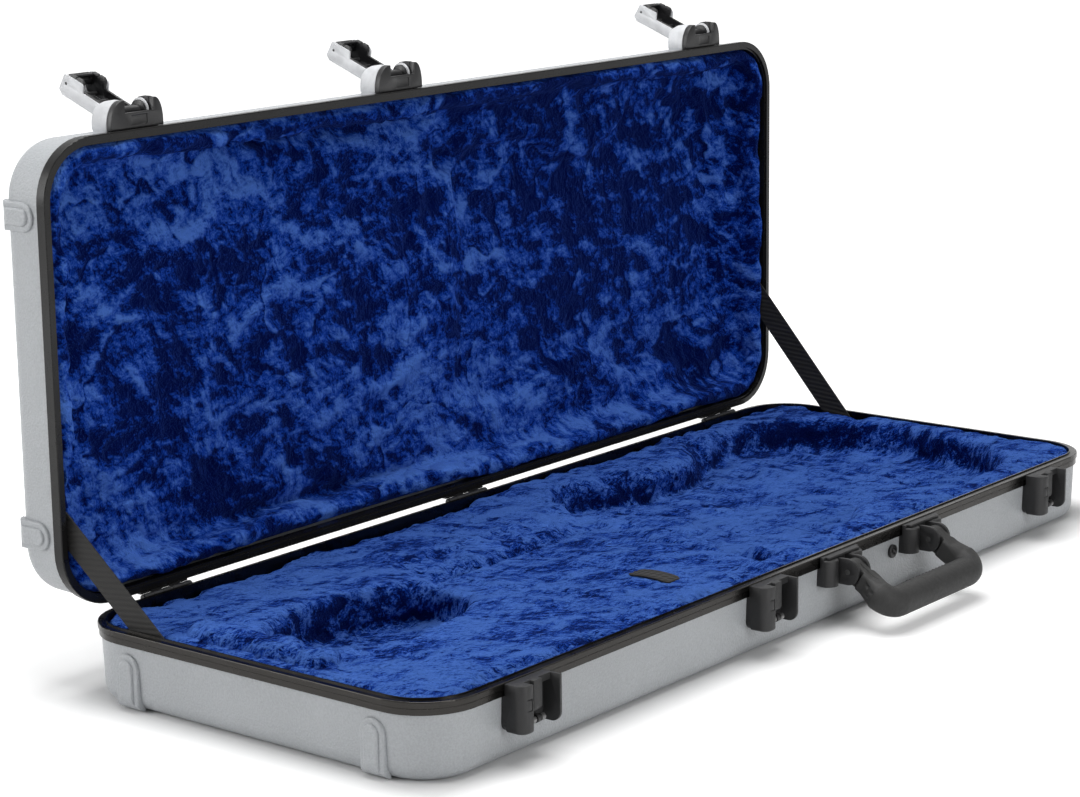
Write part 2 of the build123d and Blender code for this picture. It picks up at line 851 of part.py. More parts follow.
def bracket(place):
    """A handle bracket: wall plate, rim plate, two half columns and two ears."""
    low = place - bracket_width / 2
    high = place + bracket_width / 2
    rim_low = base_height - rim_height
    top = base_height - housing_top_drop
    plate_front = -(half_width + bracket_plate)
    plate = box(low, high, plate_front, 4 - wall_face, bracket_bottom, rim_low - 0.15)
    plate = plate - base_wall_form(wall_gap)
    plate = plate + box(low, high, plate_front, -(half_width + 0.1), rim_low - 1, top)
    body = plate
    column_top = top - column_top_drop
    for side in (-1, 1):
        x = place + side * (bracket_width / 2 - column_radius)
        depth = column_out - bracket_plate
        centre = -(half_width + column_out) + column_radius
        height = column_top - bracket_bottom
        middle = (column_top + bracket_bottom) / 2
        column = Pos(x, centre, middle) * Cylinder(column_radius, height)
        column = fillet(edges_at_height(column, column_top), 1.4)
        x0 = x - column_radius
        x1 = x + column_radius
        column = column + box(x0, x1, centre, plate_front + 1, bracket_bottom, column_top)
        body = body + (column & box(low, high, -(half_width + 40), plate_front + 1, 0, top))
        ear_inner = place + side * (arm_hub_half() + ear_arm_gap)
        ear_outer = ear_inner + side * ear_thickness
        pivot_y = -(half_width + handle_pivot_out)
        ear = rod(ear_inner, ear_outer, pivot_y, handle_pivot_height, ear_radius)
        web_low = handle_pivot_height - ear_radius
        web_high = handle_pivot_height + ear_radius
        ear = ear + box(ear_inner, ear_outer, pivot_y, plate_front + 1, web_low, web_high)
        body = body + ear
    shelf = box(low + 4, high - 4, -(half_width + 7), plate_front + 0.5, top - 2.2, top)
    body = body + shelf
    pivot_y = -(half_width + handle_pivot_out)
    reach = arm_hub_half() + ear_arm_gap + ear_thickness + 5
    bore = handle_pin_radius + pin_gap
    return body - rod(place - reach, place + reach, pivot_y, handle_pivot_height, bore)


def arm_hub_half():
    """Half the width of the arm's hub, which runs between the bracket's ears."""
    return arm_width / 2 - ear_thickness - ear_arm_gap


def handle_places():
    """The two brackets' middles along X."""
    half = bracket_spacing / 2
    return (handle_middle - half, handle_middle + half)


def handle_plane(x, out):
    """A plane square to the level handle's arms, at a distance out from the pivot."""
    return Plane(origin=handle_point(x, out), x_dir=(1, 0, 0), z_dir=(0, -1, 0))


def handle_point(x, out):
    """A point of the level handle's middle plane."""
    return Vector(x, -(half_width + handle_pivot_out + out), handle_pivot_height)


def arm(place, side):
    """One handle arm, drawn level: a hub, a straight root and a flare into the grip."""
    root = ear_radius + arm_root_gap
    pivot_y = -(half_width + handle_pivot_out)
    hub_half = arm_hub_half()
    origin = (place, pivot_y, handle_pivot_height)
    plane = Plane(origin=origin, x_dir=(0, -1, 0), z_dir=(-1, 0, 0))
    hub_link = Polyline(
        (0, -arm_hub_radius),
        (root + 2, -arm_root_half),
        (root + 2, arm_root_half),
        (0, arm_hub_radius),
        close=True,
    )
    body = extrude(plane * make_face(hub_link), hub_half, both=True)
    body = body + rod(place - hub_half, place + hub_half, pivot_y, handle_pivot_height, arm_hub_radius)
    section = RectangleRounded(arm_width, 2 * arm_root_half, arm_edge_round)
    body = body + extrude(handle_plane(place, root) * section, arm_flare_start - root)
    body = body + arm_flare(place, side, section)
    for index in (-1, 0, 1):
        body = body - strap_slot(place + index * 4.6, root)
    for along, across in arm_slot_places:
        body = body - arm_slot(place, side, along, across)
    bore = handle_pin_radius + pin_gap
    return body - rod(place - 30, place + 30, pivot_y, handle_pivot_height, bore)


def arm_flare(place, side, section):
    """The part of an arm that widens and turns outwards into the grip's section."""
    inside = arm_length - grip_turn + grip_step
    square = 2 * (grip_radius - grip_step)
    end = RectangleRounded(square, square, grip_radius - 1.5 * grip_step)
    first = handle_plane(place, arm_flare_start) * section
    last = handle_plane(place + side * grip_shift, inside) * end
    return loft([first, last])


def strap_slot(x, root):
    """One of the long slots over an arm's root, between its three straps."""
    near = -(half_width + handle_pivot_out + 2)
    far = near - root - 11
    low = handle_pivot_height + arm_root_half - strap_slot_depth
    high = handle_pivot_height + arm_hub_radius + 3
    return box(x - strap_slot_width / 2, x + strap_slot_width / 2, far, near, low, high)


def arm_slot(place, side, along, across):
    """One shallow slot in an arm's outer face, on its flare."""
    out = ear_radius + 14 + along
    share = (out - arm_flare_start) / (arm_length - grip_turn - arm_flare_start)
    reach = arm_width / 2 + max(share, 0) * (grip_shift + grip_radius - arm_width / 2)
    middle = handle_point(place + side * reach, out) + Vector(0, 0, across)
    return Pos(*middle) * Box(2 * arm_slot_depth, arm_slot_length, arm_slot_width)


def grip():
    """The thick grip with its turned ends, on the arms' middle plane."""
    left, right = handle_places()
    x0 = left - grip_shift
    x1 = right + grip_shift
    join = arm_length - grip_turn - 0.2
    corners = [(x0, join), (x0, arm_length), (x1, arm_length), (x1, join)]
    route = FilletPolyline(*[handle_point(x, out) for x, out in corners], radius=grip_turn)
    return sweep(handle_plane(x0, join) * Circle(grip_radius), path=route)


def handle():
    """The handle, drawn level and then hung at its angle: two arms and a thick grip."""
    left, right = handle_places()
    body = arm(left, -1) + arm(right, 1) + grip()
    axis = Axis((0, -(half_width + handle_pivot_out), handle_pivot_height), (1, 0, 0))
    return body.rotate(axis, handle_hang_angle)


def handle_pin(place):
    """A bracket's pivot pin, inside the ears and the arm's hub."""
    reach = arm_hub_half() + ear_arm_gap + ear_thickness - 0.1
    pivot_y = -(half_width + handle_pivot_out)
    return rod(place - reach, place + reach, pivot_y, handle_pivot_height, handle_pin_radius)


def plug():
    """The round pressure plug on the front wall."""
    seat = -(wall_face + 0.1)
    turned = Rot(90, 0, 0)
    middle = Pos(plug_place, seat - plug_out / 2, plug_height)
    disc = middle * turned * Cylinder(plug_radius, plug_out)
    rim = [e for e in disc.edges() if e.geom_type == GeomType.CIRCLE and e.center().Y < seat - plug_out / 2]
    disc = fillet(rim, 1.0)
    face = Pos(plug_place, seat - plug_out, plug_height)
    core = face * turned * Cylinder(plug_core_radius, 1.4)
    return disc - core + (face * Pos(0, 0.4, 0) * Sphere(plug_core_radius * 0.62))


def guitar_outline(inset):
    """The body recess seen from above: a table of shares of its length and half width."""
    back = [(1.0, 0.0), (0.977, 0.494), (0.888, 0.861), (0.753, 1.0), (0.622, 0.937), (0.520, 0.772)]
    back += [(0.436, 0.715), (0.347, 0.772), (0.237, 0.899), (0.135, 0.924), (0.055, 0.835)]
    left = [(0.013, 0.633), (0.030, 0.348), (0.030, 0.0), (0.021, -0.380), (0.0, -0.665)]
    front = [(0.047, -0.848), (0.144, -0.924), (0.245, -0.899), (0.355, -0.772), (0.444, -0.709)]
    front += [(0.533, -0.759), (0.634, -0.930), (0.757, -1.0), (0.892, -0.861), (0.979, -0.494)]
    x0 = body_left + inset
    length = body_length - 2 * inset
    half = body_half - inset
    points = [(x0 + along * length, across * half) for along, across in back + left + front]
    return make_face(Spline(*points, periodic=True))


def head_outline():
    """The headstock recess seen from above: a table of shares of its length and half width."""
    shares = [(1.0, 0.0), (0.922, 0.531), (0.680, 0.875), (0.379, 1.0), (0.136, 0.812), (0.0, 0.219)]
    shares += [(0.029, -0.562), (0.223, -0.969), (0.524, -1.0), (0.816, -0.750)]
    half = head_width / 2
    points = [(head_left + along * head_length, head_middle + across * half) for along, across in shares]
    return make_face(Spline(*points, periodic=True))


def lining_top():
    """The base lining's top height."""
    return base_height - lining_top_drop


def neck_top():
    """The height of the raised middle under the neck, where the accessory lid lies."""
    return base_height - neck_top_drop


def base_lining():
    """The plush-covered foam in the base, whole, with its recesses and the accessory pocket."""
    floor = shell_wall + seat_gap
    top = lining_top()
    body = plan_slab(lining_inset, floor, top)
    body = fillet(edges_at_height(body, top), lining_crown)
    body = fillet(edges_at_height(body, floor), lining_bottom_round)
    body = recessed(body, guitar_outline(0), body_floor, recess_round)
    body = recessed(body, head_outline(), head_floor, head_round)
    body = body - neck_trough()
    pocket_top = top + 1
    pocket = rounded_box(pocket_left, pocket_right, pocket_front, pocket_back, pocket_floor, pocket_top)
    ledge_z = neck_top() - pad_thickness - board_thickness - seat_gap
    ledge = accessory_form(pocket_ledge, ledge_z, pocket_top)
    body = body - pocket - ledge
    for side in (-1, 1):
        body = body - stay_notch(side)
    return body


def lining_blocks():
    """The base lining cut into its foam blocks: name and solid."""
    whole = base_lining()
    head_cut = head_right + block_gap
    body_cut = body_left - block_gap
    end = half_length
    top = base_height
    ranges = {
        "lining_floor": (-end, end, -end, end, 0, pocket_floor),
        "lining_head_floor": (-end, head_cut, -end, end, pocket_floor, head_floor),
        "lining_head_front": (-end, head_cut, -end, block_middle, head_floor, top),
        "lining_head_back": (-end, head_cut, block_middle, end, head_floor, top),
        "lining_neck": (head_cut, body_cut, -end, end, pocket_floor, top),
        "lining_body_floor": (body_cut, end, -end, end, pocket_floor, body_floor),
        "lining_body_front": (body_cut, end, -end, block_middle, body_floor, top),
        "lining_body_back": (body_cut, end, block_middle, end, body_floor, top),
    }
    return {name: whole & box(*limits) for name, limits in ranges.items()}


def recessed(body, outline, floor, rim_round):
    """Sink a recess into the lining's top and round its rim."""
    body = body - (Pos(0, 0, floor) * extrude(outline, lining_top()))
    bounds = outline.bounding_box()
    rims = [e for e in edges_at_height(body, lining_top()) if inside_bounds(e, bounds)]
    return fillet(rims, rim_round)


def inside_bounds(edge, bounds):
    """Whether an edge lies within a recess's plan bounds."""
    box_here = edge.bounding_box()
    low = box_here.min.X > bounds.min.X - 1 and box_here.min.Y > bounds.min.Y - 1
    high = box_here.max.X < bounds.max.X + 1 and box_here.max.Y < bounds.max.Y + 1
    return low and high


def neck_trough():
    """The lower middle of the lining under the neck, with sloping sides."""
    left = head_right + trough_head_gap
    right = body_left + trough_body_reach
    front = pocket_front + trough_pocket_front
    back = pocket_back + trough_pocket_back
    sketch = RectangleRounded(right - left, back - front, trough_corner)
    middle = Pos((left + right) / 2, (front + back) / 2, neck_top())
    return middle * extrude(sketch, neck_top_drop, taper=-trough_slope)


def head_cushion():
    """The low cushion beyond the headstock's tip."""
    middle = cushion_end_gap + cushion_length / 2 - lining_end
    sketch = RectangleRounded(cushion_length, cushion_width, cushion_corner)
    body = Pos(middle, cushion_middle, lining_top()) * extrude(sketch, cushion_height)
    return fillet(edges_at_height(body, lining_top() + cushion_height), cushion_crown)


def rounded_box(x0, x1, y0, y1, z0, z1):
    """A box with rounded upright corners."""
    sketch = RectangleRounded(x1 - x0, y1 - y0, pocket_corner)
    return Pos((x0 + x1) / 2, (y0 + y1) / 2, z0) * extrude(sketch, z1 - z0)


def stay_x():
    """The distance of each stay from the middle."""
    return half_length - rim_depth - stay_rim_gap


def stay_notch(side):
    """The room in the base lining for a stay's lower end."""
    x1 = half_length
    x0 = stay_x() - stay_thickness - stay_notch_gap
    y0 = stay_base_y - stay_width * 0.5 - stay_end - 4
    y1 = stay_base_y + stay_width + stay_end + 14
    z0 = stay_base_z - stay_width * 0.5 - stay_end - 4
    return box(side * x0, side * x1, y0, y1, z0, base_height)


def accessory_form(grow, z0, z1):
    """The accessory pocket's plan, grown by a margin, between two heights."""
    left = pocket_left - grow
    right = pocket_right + grow
    return rounded_box(left, right, pocket_front - grow, pocket_back + grow, z0, z1)


def accessory_board():
    """The stiff board under the accessory lid's pad."""
    top = neck_top() - pad_thickness
    return accessory_form(pocket_ledge - board_gap, top - board_thickness, top)


def accessory_pad():
    """The crowned pad on the accessory lid."""
    top = neck_top()
    body = accessory_form(pocket_ledge - board_gap, top - pad_thickness, top)
    return fillet(edges_at_height(body, top), pad_crown)


def pull_tab():
    """The webbing pull tab on the accessory lid."""
    x = (pocket_left + pocket_right) / 2 + tab_offset
    y = pocket_front + tab_root_gap - pull_tab_length / 2
    sketch = RectangleRounded(pull_tab_width, pull_tab_length, 4.0)
    return Pos(x, y, neck_top()) * extrude(sketch, pull_tab_thickness)


def lid_lining():
    """The plush-covered foam in the closed lid: a shallow dish with a body-shaped recess."""
    ceiling = lid_bottom + lid_depth - shell_wall - seat_gap
    bottom = lid_bottom + lid_pad_start
    body = plan_slab(lining_inset, bottom, ceiling)
    body = fillet(edges_at_height(body, ceiling), lining_bottom_round)
    dish = plan_slab(lining_inset + lid_side_pad, bottom - 1, ceiling - lid_pad)
    dish = fillet(edges_at_height(dish, ceiling - lid_pad), lid_pad_round)
    body = body - dish
    inner = [e for e in edges_at_height(body, bottom) if not reaches_outline_at(e, lining_inset)]
    body = fillet(inner, lid_side_pad * 0.55)
    recess = guitar_outline(lid_recess_inset)
    z0 = ceiling - lid_pad - 1
    body = body - (Pos(0, 0, z0) * extrude(recess, lid_recess_depth + 1))
    for side in (-1, 1):
        body = body - lid_stay_notch(side)
    return body


def reaches_outline_at(edge, inset):
    """Whether an edge lies on the plan outline at an inset, at any height."""
    middle = edge.position_at(0.5)
    inner = plan_slab(inset + 0.5, -1, 1)
    return not inner.is_inside(Vector(middle.X, middle.Y, 0))


def lid_stay_notch(side):
    """The room in the closed lid's lining for a stay's upper end."""
    lid_y, lid_z = stay_lid_end(side)
    closed_y = hinge_y - (lid_z - hinge_z)
    reach = stay_width + stay_end + 6
    x0 = stay_x() - stay_thickness - stay_notch_gap
    top = hinge_z + lid_y + stay_end + stay_width * 0.5 + 4 - hinge_y
    return box(side * x0, side * half_length, closed_y - reach, closed_y + reach, lid_bottom, top)


def stay_lid_end(side):
    """A stay's upper point on the open lid."""
    if side < 0:
        return (hinge_y + stay_left_lid_out, hinge_z + stay_left_lid_rise)
    return (hinge_y + stay_right_lid_out, hinge_z + stay_right_lid_rise)


def stay(side):
    """A webbing stay from the base's end wall to the open lid's end wall."""
    lid_y, lid_z = stay_lid_end(side)
    run = Vector(0, lid_y - stay_base_y, lid_z - stay_base_z)
    length = run.length + 2 * stay_end
    x = side * (stay_x() - stay_thickness / 2)
    middle = Vector(x, (lid_y + stay_base_y) / 2, (lid_z + stay_base_z) / 2)
    plane = Plane(origin=middle, x_dir=run.normalized(), z_dir=(1, 0, 0))
    return extrude(plane * Rectangle(length, stay_width), stay_thickness / 2, both=True)


def anchor(side, y, z, wall_gap_here):
    """A washer-headed rivet that holds a stay's end to the wall."""
    inner = side * (stay_x() - stay_thickness - 0.05)
    outer = side * (stay_x() + 0.05)
    wall = side * (end_face - shell_wall - wall_gap_here)
    head = rod(inner - side * anchor_head, inner, y, z, anchor_radius)
    return [head, rod(outer, wall, y, z, anchor_radius)]


def base_anchor(side):
    """The rivet at a stay's lower end, on the base."""
    below = max(base_height - rim_height - stay_base_z, 0)
    return anchor(side, stay_base_y, stay_base_z, drafted(below))


def lid_anchor(side):
    """The rivet at a stay's upper end, on the open lid."""
    y, z = stay_lid_end(side)
    above = max(y - hinge_y - (rim_height + rim_gap + hinge_drop), 0)
    return anchor(side, y, z, drafted(above))


def drafted(distance):
    """How far a drafted wall stands in at a distance past the rim, with a small gap."""
    return distance * math.tan(math.radians(draft_angle)) + 0.3


def lid_patch():
    """The small gathered pad on the lid lining, near the hinges at the headstock end."""
    ceiling = lid_bottom + lid_depth - shell_wall - seat_gap
    top = ceiling - lid_pad - seat_gap
    sketch = RectangleRounded(patch_length, patch_width, 8)
    x = patch_end_gap - lining_end
    y = lining_side - patch_back_gap
    body = Pos(x, y, top - patch_thickness) * extrude(sketch, patch_thickness)
    return fillet(edges_at_height(body, top - patch_thickness), 4.0)


def build():
    """Make and write every node."""
    save("base_shell", Pos(0, 0, base_height) * half_shell(base_height))
    save("lid_shell", open_lid(flip_to_lid(half_shell(lid_depth))))
    save("base_rim", base_rim())
    save("lid_rim", open_lid(lid_rim()))
    for number, place in enumerate(hinge_places, 1):
        save(f"hinge_{number}_base_leaf", hinge_base_leaf(place))
        save(f"hinge_{number}_lid_leaf", open_lid(hinge_lid_leaf(place)))
        save(f"hinge_{number}_pin", hinge_pin(place))
    base_rivet_z = base_height - base_leaf_height + 5.5
    lid_rivet_z = lid_bottom + lid_leaf_height - 5.5
    save("hinge_base_rivets", group(hinge_rivets(base_rivet_z)))
    save("hinge_lid_rivets", group([open_lid(r) for r in hinge_rivets(lid_rivet_z)]))
    for number, place in enumerate(latch_places, 1):
        save(f"latch_{number}_housing", housing(place))
        save(f"latch_{number}_saddle", open_lid(saddle(place)))
        save(f"latch_{number}_cover", open_lid(saddle_cover(place)))
        save(f"latch_{number}_lever", fold_lever(lever(place)))
        save(f"latch_{number}_frame", fold_lever(lever_frame(place)))
        save(f"latch_{number}_trigger", fold_lever(trigger(place)))
    save("latch_rollers", group([roller(place) for place in latch_places]))
    save("latch_pins", group([open_lid(lever_pin(place)) for place in latch_places]))
    for name, place in zip(("left", "right"), handle_places()):
        save("handle_bracket_" + name, bracket(place))
    save("handle", handle())
    save("handle_pins", group([handle_pin(place) for place in handle_places()]))
    save("pressure_plug", plug())
    for name, block in lining_blocks().items():
        save(name, block)
    save("head_cushion", head_cushion())
    save("accessory_board", accessory_board())
    save("accessory_pad", accessory_pad())
    save("accessory_pull_tab", pull_tab())
    save("lid_lining", open_lid(lid_lining()))
    save("lid_patch", open_lid(lid_patch()))
    save("stay_left", stay(-1))
    save("stay_right", stay(1))
    save("stay_base_anchors", group(base_anchor(-1) + base_anchor(1)))
    save("stay_lid_anchors", group(lid_anchor(-1) + lid_anchor(1)))


build()
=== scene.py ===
"""Looks of the open electric guitar case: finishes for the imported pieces, the plush linings,
the webbing stays, the moulded handle and the studio stage."""

import json
import math

import bmesh
import bpy
import numpy as np
from bpy.props import FloatProperty, FloatVectorProperty, IntProperty, PointerProperty
from mathutils import Matrix, Vector, noise
from mathutils.bvhtree import BVHTree


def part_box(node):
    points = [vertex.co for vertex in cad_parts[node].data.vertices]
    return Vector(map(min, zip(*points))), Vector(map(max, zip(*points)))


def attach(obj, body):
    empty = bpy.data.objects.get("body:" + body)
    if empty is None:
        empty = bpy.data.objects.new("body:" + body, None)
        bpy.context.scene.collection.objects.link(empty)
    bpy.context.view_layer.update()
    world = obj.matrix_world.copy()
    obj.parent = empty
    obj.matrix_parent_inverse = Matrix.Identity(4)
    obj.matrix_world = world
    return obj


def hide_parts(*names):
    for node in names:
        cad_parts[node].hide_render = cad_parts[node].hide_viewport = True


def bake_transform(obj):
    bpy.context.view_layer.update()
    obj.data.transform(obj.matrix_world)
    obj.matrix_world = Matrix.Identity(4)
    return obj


bl_info = {
    "name": "Electric guitar case looks",
    "version": (1, 0, 0),
    "blender": (4, 5, 0),
    "location": "View3D > Sidebar > Guitar case",
    "description": "Dresses the case's packed pieces and sets up its stage",
    "category": "Object",
}

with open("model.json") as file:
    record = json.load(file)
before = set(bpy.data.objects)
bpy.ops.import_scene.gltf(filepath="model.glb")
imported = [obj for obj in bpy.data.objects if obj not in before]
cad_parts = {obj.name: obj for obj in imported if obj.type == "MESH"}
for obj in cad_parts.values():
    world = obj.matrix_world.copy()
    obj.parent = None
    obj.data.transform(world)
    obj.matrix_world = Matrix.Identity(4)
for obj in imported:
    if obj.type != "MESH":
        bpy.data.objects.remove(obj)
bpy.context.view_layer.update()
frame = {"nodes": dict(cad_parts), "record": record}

LINING_CORNER = 0.044  # radius of the linings' corners in plan
PINNED_WALL = 0.005  # lining this near to a shell's wall keeps still in the cloth
BASE_PINNED, BASE_FREE = 0.012, 0.009  # still above its underside, free below its top
LID_PINNED, LID_FREE = 0.010, 0.005  # the same for the lid's lining
BASE_CUT, LID_CUT = 0.004, 0.003  # their hidden backs are cut off this far from the shells
BASE_SPILL = 0.0007  # how far the base's pile presses out to its rim
RECESS_FOOT = 0.034  # below this height the recesses' walls get more painted shade
SMOOTHING_ROUNDS = 6  # after a lining is remeshed
CLOTH_SETTINGS = {
    "quality": 4,
    "mass": 0.3,
    "use_pressure": True,
    "uniform_pressure_force": 3.0,
    "tension_stiffness": 12.0,
    "compression_stiffness": 8.0,
    "shear_stiffness": 4.0,
    "bending_stiffness": 0.3,
    "shrink_min": -0.035,
    "vertex_group_mass": "held",
    "pin_stiffness": 1.0,
}
PAD_VOXEL = 0.0024  # mesh size of the small pads
HANDLE_VOXEL = 0.0009  # mesh size of the handle
BEVEL_SEGMENTS = 2
BEVEL_ANGLE = 28.0  # edges sharper than this are rounded
CUSHION_SWELL = 0.0058  # how much the head cushion rises over its middle
CUSHION_PRESS = 0.0060  # above this its crests are pressed flatter, so the lid closes over it
CUSHION_FLATTEN = 0.65  # by this share
STAY_PARTS = 24  # lengths of each stay
TAB_ROUND = 0.007  # rounding at the pull tab's ends
GRIP_RADIUS = 0.0138
DOT_PITCH, DOT_RADIUS = 0.0056, 0.00085  # the grip's raised dots
DOT_ROWS = (28.0, 47.0)  # angles of the two rows from the grip's top, towards the front
FLOOR_COLOUR = (0.84, 0.84, 0.84, 1.0)
FLOOR_GLOW = ((0.0, 0.045, 0.32), (0.2, 1.1, 0.68))  # from this distance, to this one, it adds this much; low next to the case, so the floor there is darker: a painted contact shadow round the base and under the handle
CAMERA_ANGLES = (-51.205, 12.466, -0.806)  # turn, rise and roll, fitted to the photograph
CAMERA_SHIFT = (2.653388, 0.088566, 0.039382)  # back, left and up from its aim
CAMERA_HEIGHT = 0.150  # of its aim


def colour(label, words, value):
    """A colour setting in linear RGB."""
    return FloatVectorProperty(
        name=label, description=words, subtype="COLOR", size=3, min=0.0, max=1.0, default=value
    )


def length(label, words, value):
    """A length setting in metres."""
    return FloatProperty(name=label, description=words, default=value, min=0.0, unit="LENGTH", precision=5)


def wattage(label, words, value):
    """A light's power setting."""
    return FloatProperty(name=label, description=words, default=value, min=0.0, subtype="POWER")


class CaseColours(bpy.types.PropertyGroup):
    """Colours of the case's finishes."""

    shell: colour("Shell", "Moulded half shells", (0.395, 0.412, 0.43))
    rim: colour("Rim", "Anodised rim of the lid", (0.0065, 0.0063, 0.0063))
    # The base's rim is the same black anodised extrusion as the lid's; its lighter colour and full metal
    # finish are painted reflection.
    base_rim: colour("Base rim", "Anodised rim of the base, as its metal shines", (0.042, 0.040, 0.038))
    # Plush shade and plush sheen are painted shade and painted sheen of the one blue pile: darker where it
    # faces away from the light, lighter where it catches it.
    plush_painted_shade: colour("Plush shade", "Plush where the pile lies away", (0.0002, 0.0045, 0.062))
    plush_mid: colour("Plush", "Plush seen along the pile", (0.0045, 0.042, 0.33))
    plush_painted_sheen: colour("Plush sheen", "Plush where the pile stands up", (0.078, 0.195, 0.64))
    latch: colour("Latch", "Moulded latch and bracket bodies", (0.012, 0.012, 0.013))
    cover: colour("Cover", "Light latch covers and levers", (0.62, 0.63, 0.65))
    dark: colour("Dark parts", "Inner latch parts", (0.008, 0.008, 0.009))
    grip: colour("Grip", "Rubbery handle", (0.016, 0.016, 0.016))
    webbing: colour("Webbing", "Stays and pull tab", (0.0055, 0.0050, 0.0045))


class PlushSizes(bpy.types.PropertyGroup):
    """Sizes of the plush linings."""

    voxel: length("Voxel", "Mesh size of the linings before they are subdivided", 0.0054)
    pile_lift: length("Pile lift", "How far the plush rumples", 0.0040)
    cloth_reach: length("Cloth reach", "How far the cloth may move in its simulation", 0.006)
    spill: length("Spill", "How far the lid's pile presses out to its rim", 0.0009)
    top: length("Top", "Height of the base's pile along its rim", 0.0667)
    frames: IntProperty(name="Frames", description="Frames of cloth simulation", default=16, min=1, max=40)


class StageSettings(bpy.types.PropertyGroup):
    """Light, floor and camera."""

    lens: FloatProperty(
        name="Lens", description="Camera lens", default=95.066, min=10.0, subtype="DISTANCE_CAMERA"
    )
    key: wattage("Key", "Power of the overhead light", 47.0)
    side: wattage("Side", "Power of the left light", 26.0)
    fill: wattage("Fill", "Power of the front light", 26.0)
    world: FloatProperty(name="World", description="Strength of the surrounding light", default=0.30, min=0.0)


class Finish:
    """A material under construction, with its shader and coordinates."""

    def __init__(self, name, base, roughness, metallic=0.0):
        self.material = bpy.data.materials.new(name)
        self.material.use_nodes = True
        self.tree = self.material.node_tree
        self.shader = self.tree.nodes["Principled BSDF"]
        self.shader.inputs["Base Color"].default_value = (*base, 1.0)
        self.shader.inputs["Roughness"].default_value = roughness
        self.shader.inputs["Metallic"].default_value = metallic
        self.place = self.tree.nodes.new("ShaderNodeTexCoord")
        self.column = -1400

    def node(self, kind, links=None, **values):
        """Add a node, set its properties or sockets, and link its inputs."""
        made = self.tree.nodes.new(kind)
        made.location = (self.column, 300 - 60 * (len(self.tree.nodes) % 9))
        self.column += 70
        for key, value in values.items():
            if hasattr(made, key):
                setattr(made, key, value)
            else:
                made.inputs[key.replace("_", " ")].default_value = value
        for key, source in (links or {}).items():
            self.tree.links.new(source, made.inputs[key])
        return made

    def mapping(self, scale=(1, 1, 1), turn=(0, 0, 0)):
        """Object coordinates, scaled and turned."""
        made = self.node("ShaderNodeMapping", {"Vector": self.place.outputs["Object"]})
        made.inputs["Scale"].default_value = scale
        made.inputs["Rotation"].default_value = turn
        return made.outputs["Vector"]

    def noise(self, vector, scale, detail=4.0, roughness=0.55, distortion=0.0):
        """A noise texture's factor."""
        made = self.node("ShaderNodeTexNoise", {"Vector": vector}, Scale=scale, Detail=detail)
        made.inputs["Roughness"].default_value = roughness
        made.inputs["Distortion"].default_value = distortion
        return made.outputs["Fac"]

    def ramp(self, fac, stops, interpolation="LINEAR"):
        """A colour ramp through (place, colour) stops."""
        made = self.node("ShaderNodeValToRGB", {"Fac": fac})
        made.color_ramp.interpolation = interpolation
        points = made.color_ramp.elements
        while len(points) < len(stops):
            points.new(0.5)
        for point, (where, value) in zip(points, stops):
            point.position = where
            point.color = (*value, 1.0) if isinstance(value, tuple) else (value, value, value, 1.0)
        return made.outputs["Color"]

    def mix(self, fac, first, second, blend="MIX"):
        """Two colours mixed."""
        made = self.node("ShaderNodeMix", data_type="RGBA", blend_type=blend)
        for socket, value in (("Factor", fac), ("A", first), ("B", second)):
            target = [s for s in made.inputs if s.name == socket and s.enabled][0]
            if isinstance(value, bpy.types.NodeSocket):
                self.tree.links.new(value, target)
            elif isinstance(value, tuple):
                target.default_value = (*value, 1.0)
            else:
                target.default_value = value
        return [s for s in made.outputs if s.enabled][0]

    def maths(self, operation, first, second=0.0):
        """A sum, product or similar of two values."""
        made = self.node("ShaderNodeMath", operation=operation)
        for index, value in enumerate((first, second)):
            if isinstance(value, bpy.types.NodeSocket):
                self.tree.links.new(value, made.inputs[index])
            else:
                made.inputs[index].default_value = value
        return made.outputs[0]

    def bump(self, height, distance, strength=1.0, under=None):
        """A bump on top of another."""
        links = {"Height": height}
        if under is not None:
            links["Normal"] = under
        made = self.node("ShaderNodeBump", links, Distance=distance, Strength=strength)
        return made.outputs["Normal"]

    def use(self, **sockets):
        """Link sources to the shader's sockets."""
        for key, source in sockets.items():
            self.tree.links.new(source, self.shader.inputs[key.replace("_", " ")])
        return self.material


def shade(value, factor):
    """A colour made lighter or darker."""
    return tuple(min(1.0, c * factor) for c in value)


def shell_finish(colours):
    """Pebbled, satin moulded plastic."""
    base = tuple(colours.shell)
    made = Finish("shell_plastic", base, 0.42)
    place = made.mapping()
    cloud = made.noise(place, 9.0, 3.0)
    tone = made.ramp(cloud, [(0.3, shade(base, 0.93)), (0.7, shade(base, 1.05))])
    speck = made.ramp(made.noise(place, 620.0, 2.0), [(0.36, shade(base, 0.78)), (0.64, shade(base, 1.22))])
    tone = made.mix(0.25, tone, speck)
    gloss = made.ramp(made.noise(place, 420.0, 3.0), [(0.3, 0.30), (0.75, 0.50)])
    pebble = made.node("ShaderNodeTexVoronoi", {"Vector": place}, Scale=560.0, feature="SMOOTH_F1")
    normal = made.bump(pebble.outputs["Distance"], 0.0009, 0.55)
    normal = made.bump(made.noise(place, 1100.0, 2.0), 0.0004, 0.4, normal)
    return made.use(Base_Color=tone, Roughness=gloss, Normal=normal)


def rim_finish(name, base, metallic):
    """Dark anodised extrusion with faint drawn lines."""
    made = Finish(name, base, 0.28, metallic)
    made.shader.inputs["Specular IOR Level"].default_value = 0.24
    place = made.mapping()
    lines = made.noise(made.mapping(scale=(1, 1, 30)), 60.0, 3.0)
    tone = made.ramp(lines, [(0.3, shade(base, 0.9)), (0.7, shade(base, 1.12))])
    gloss = made.ramp(made.noise(place, 35.0, 4.0), [(0.3, 0.20), (0.7, 0.34)])
    return made.use(Base_Color=tone, Roughness=gloss, Normal=made.bump(lines, 0.00012, 0.4))


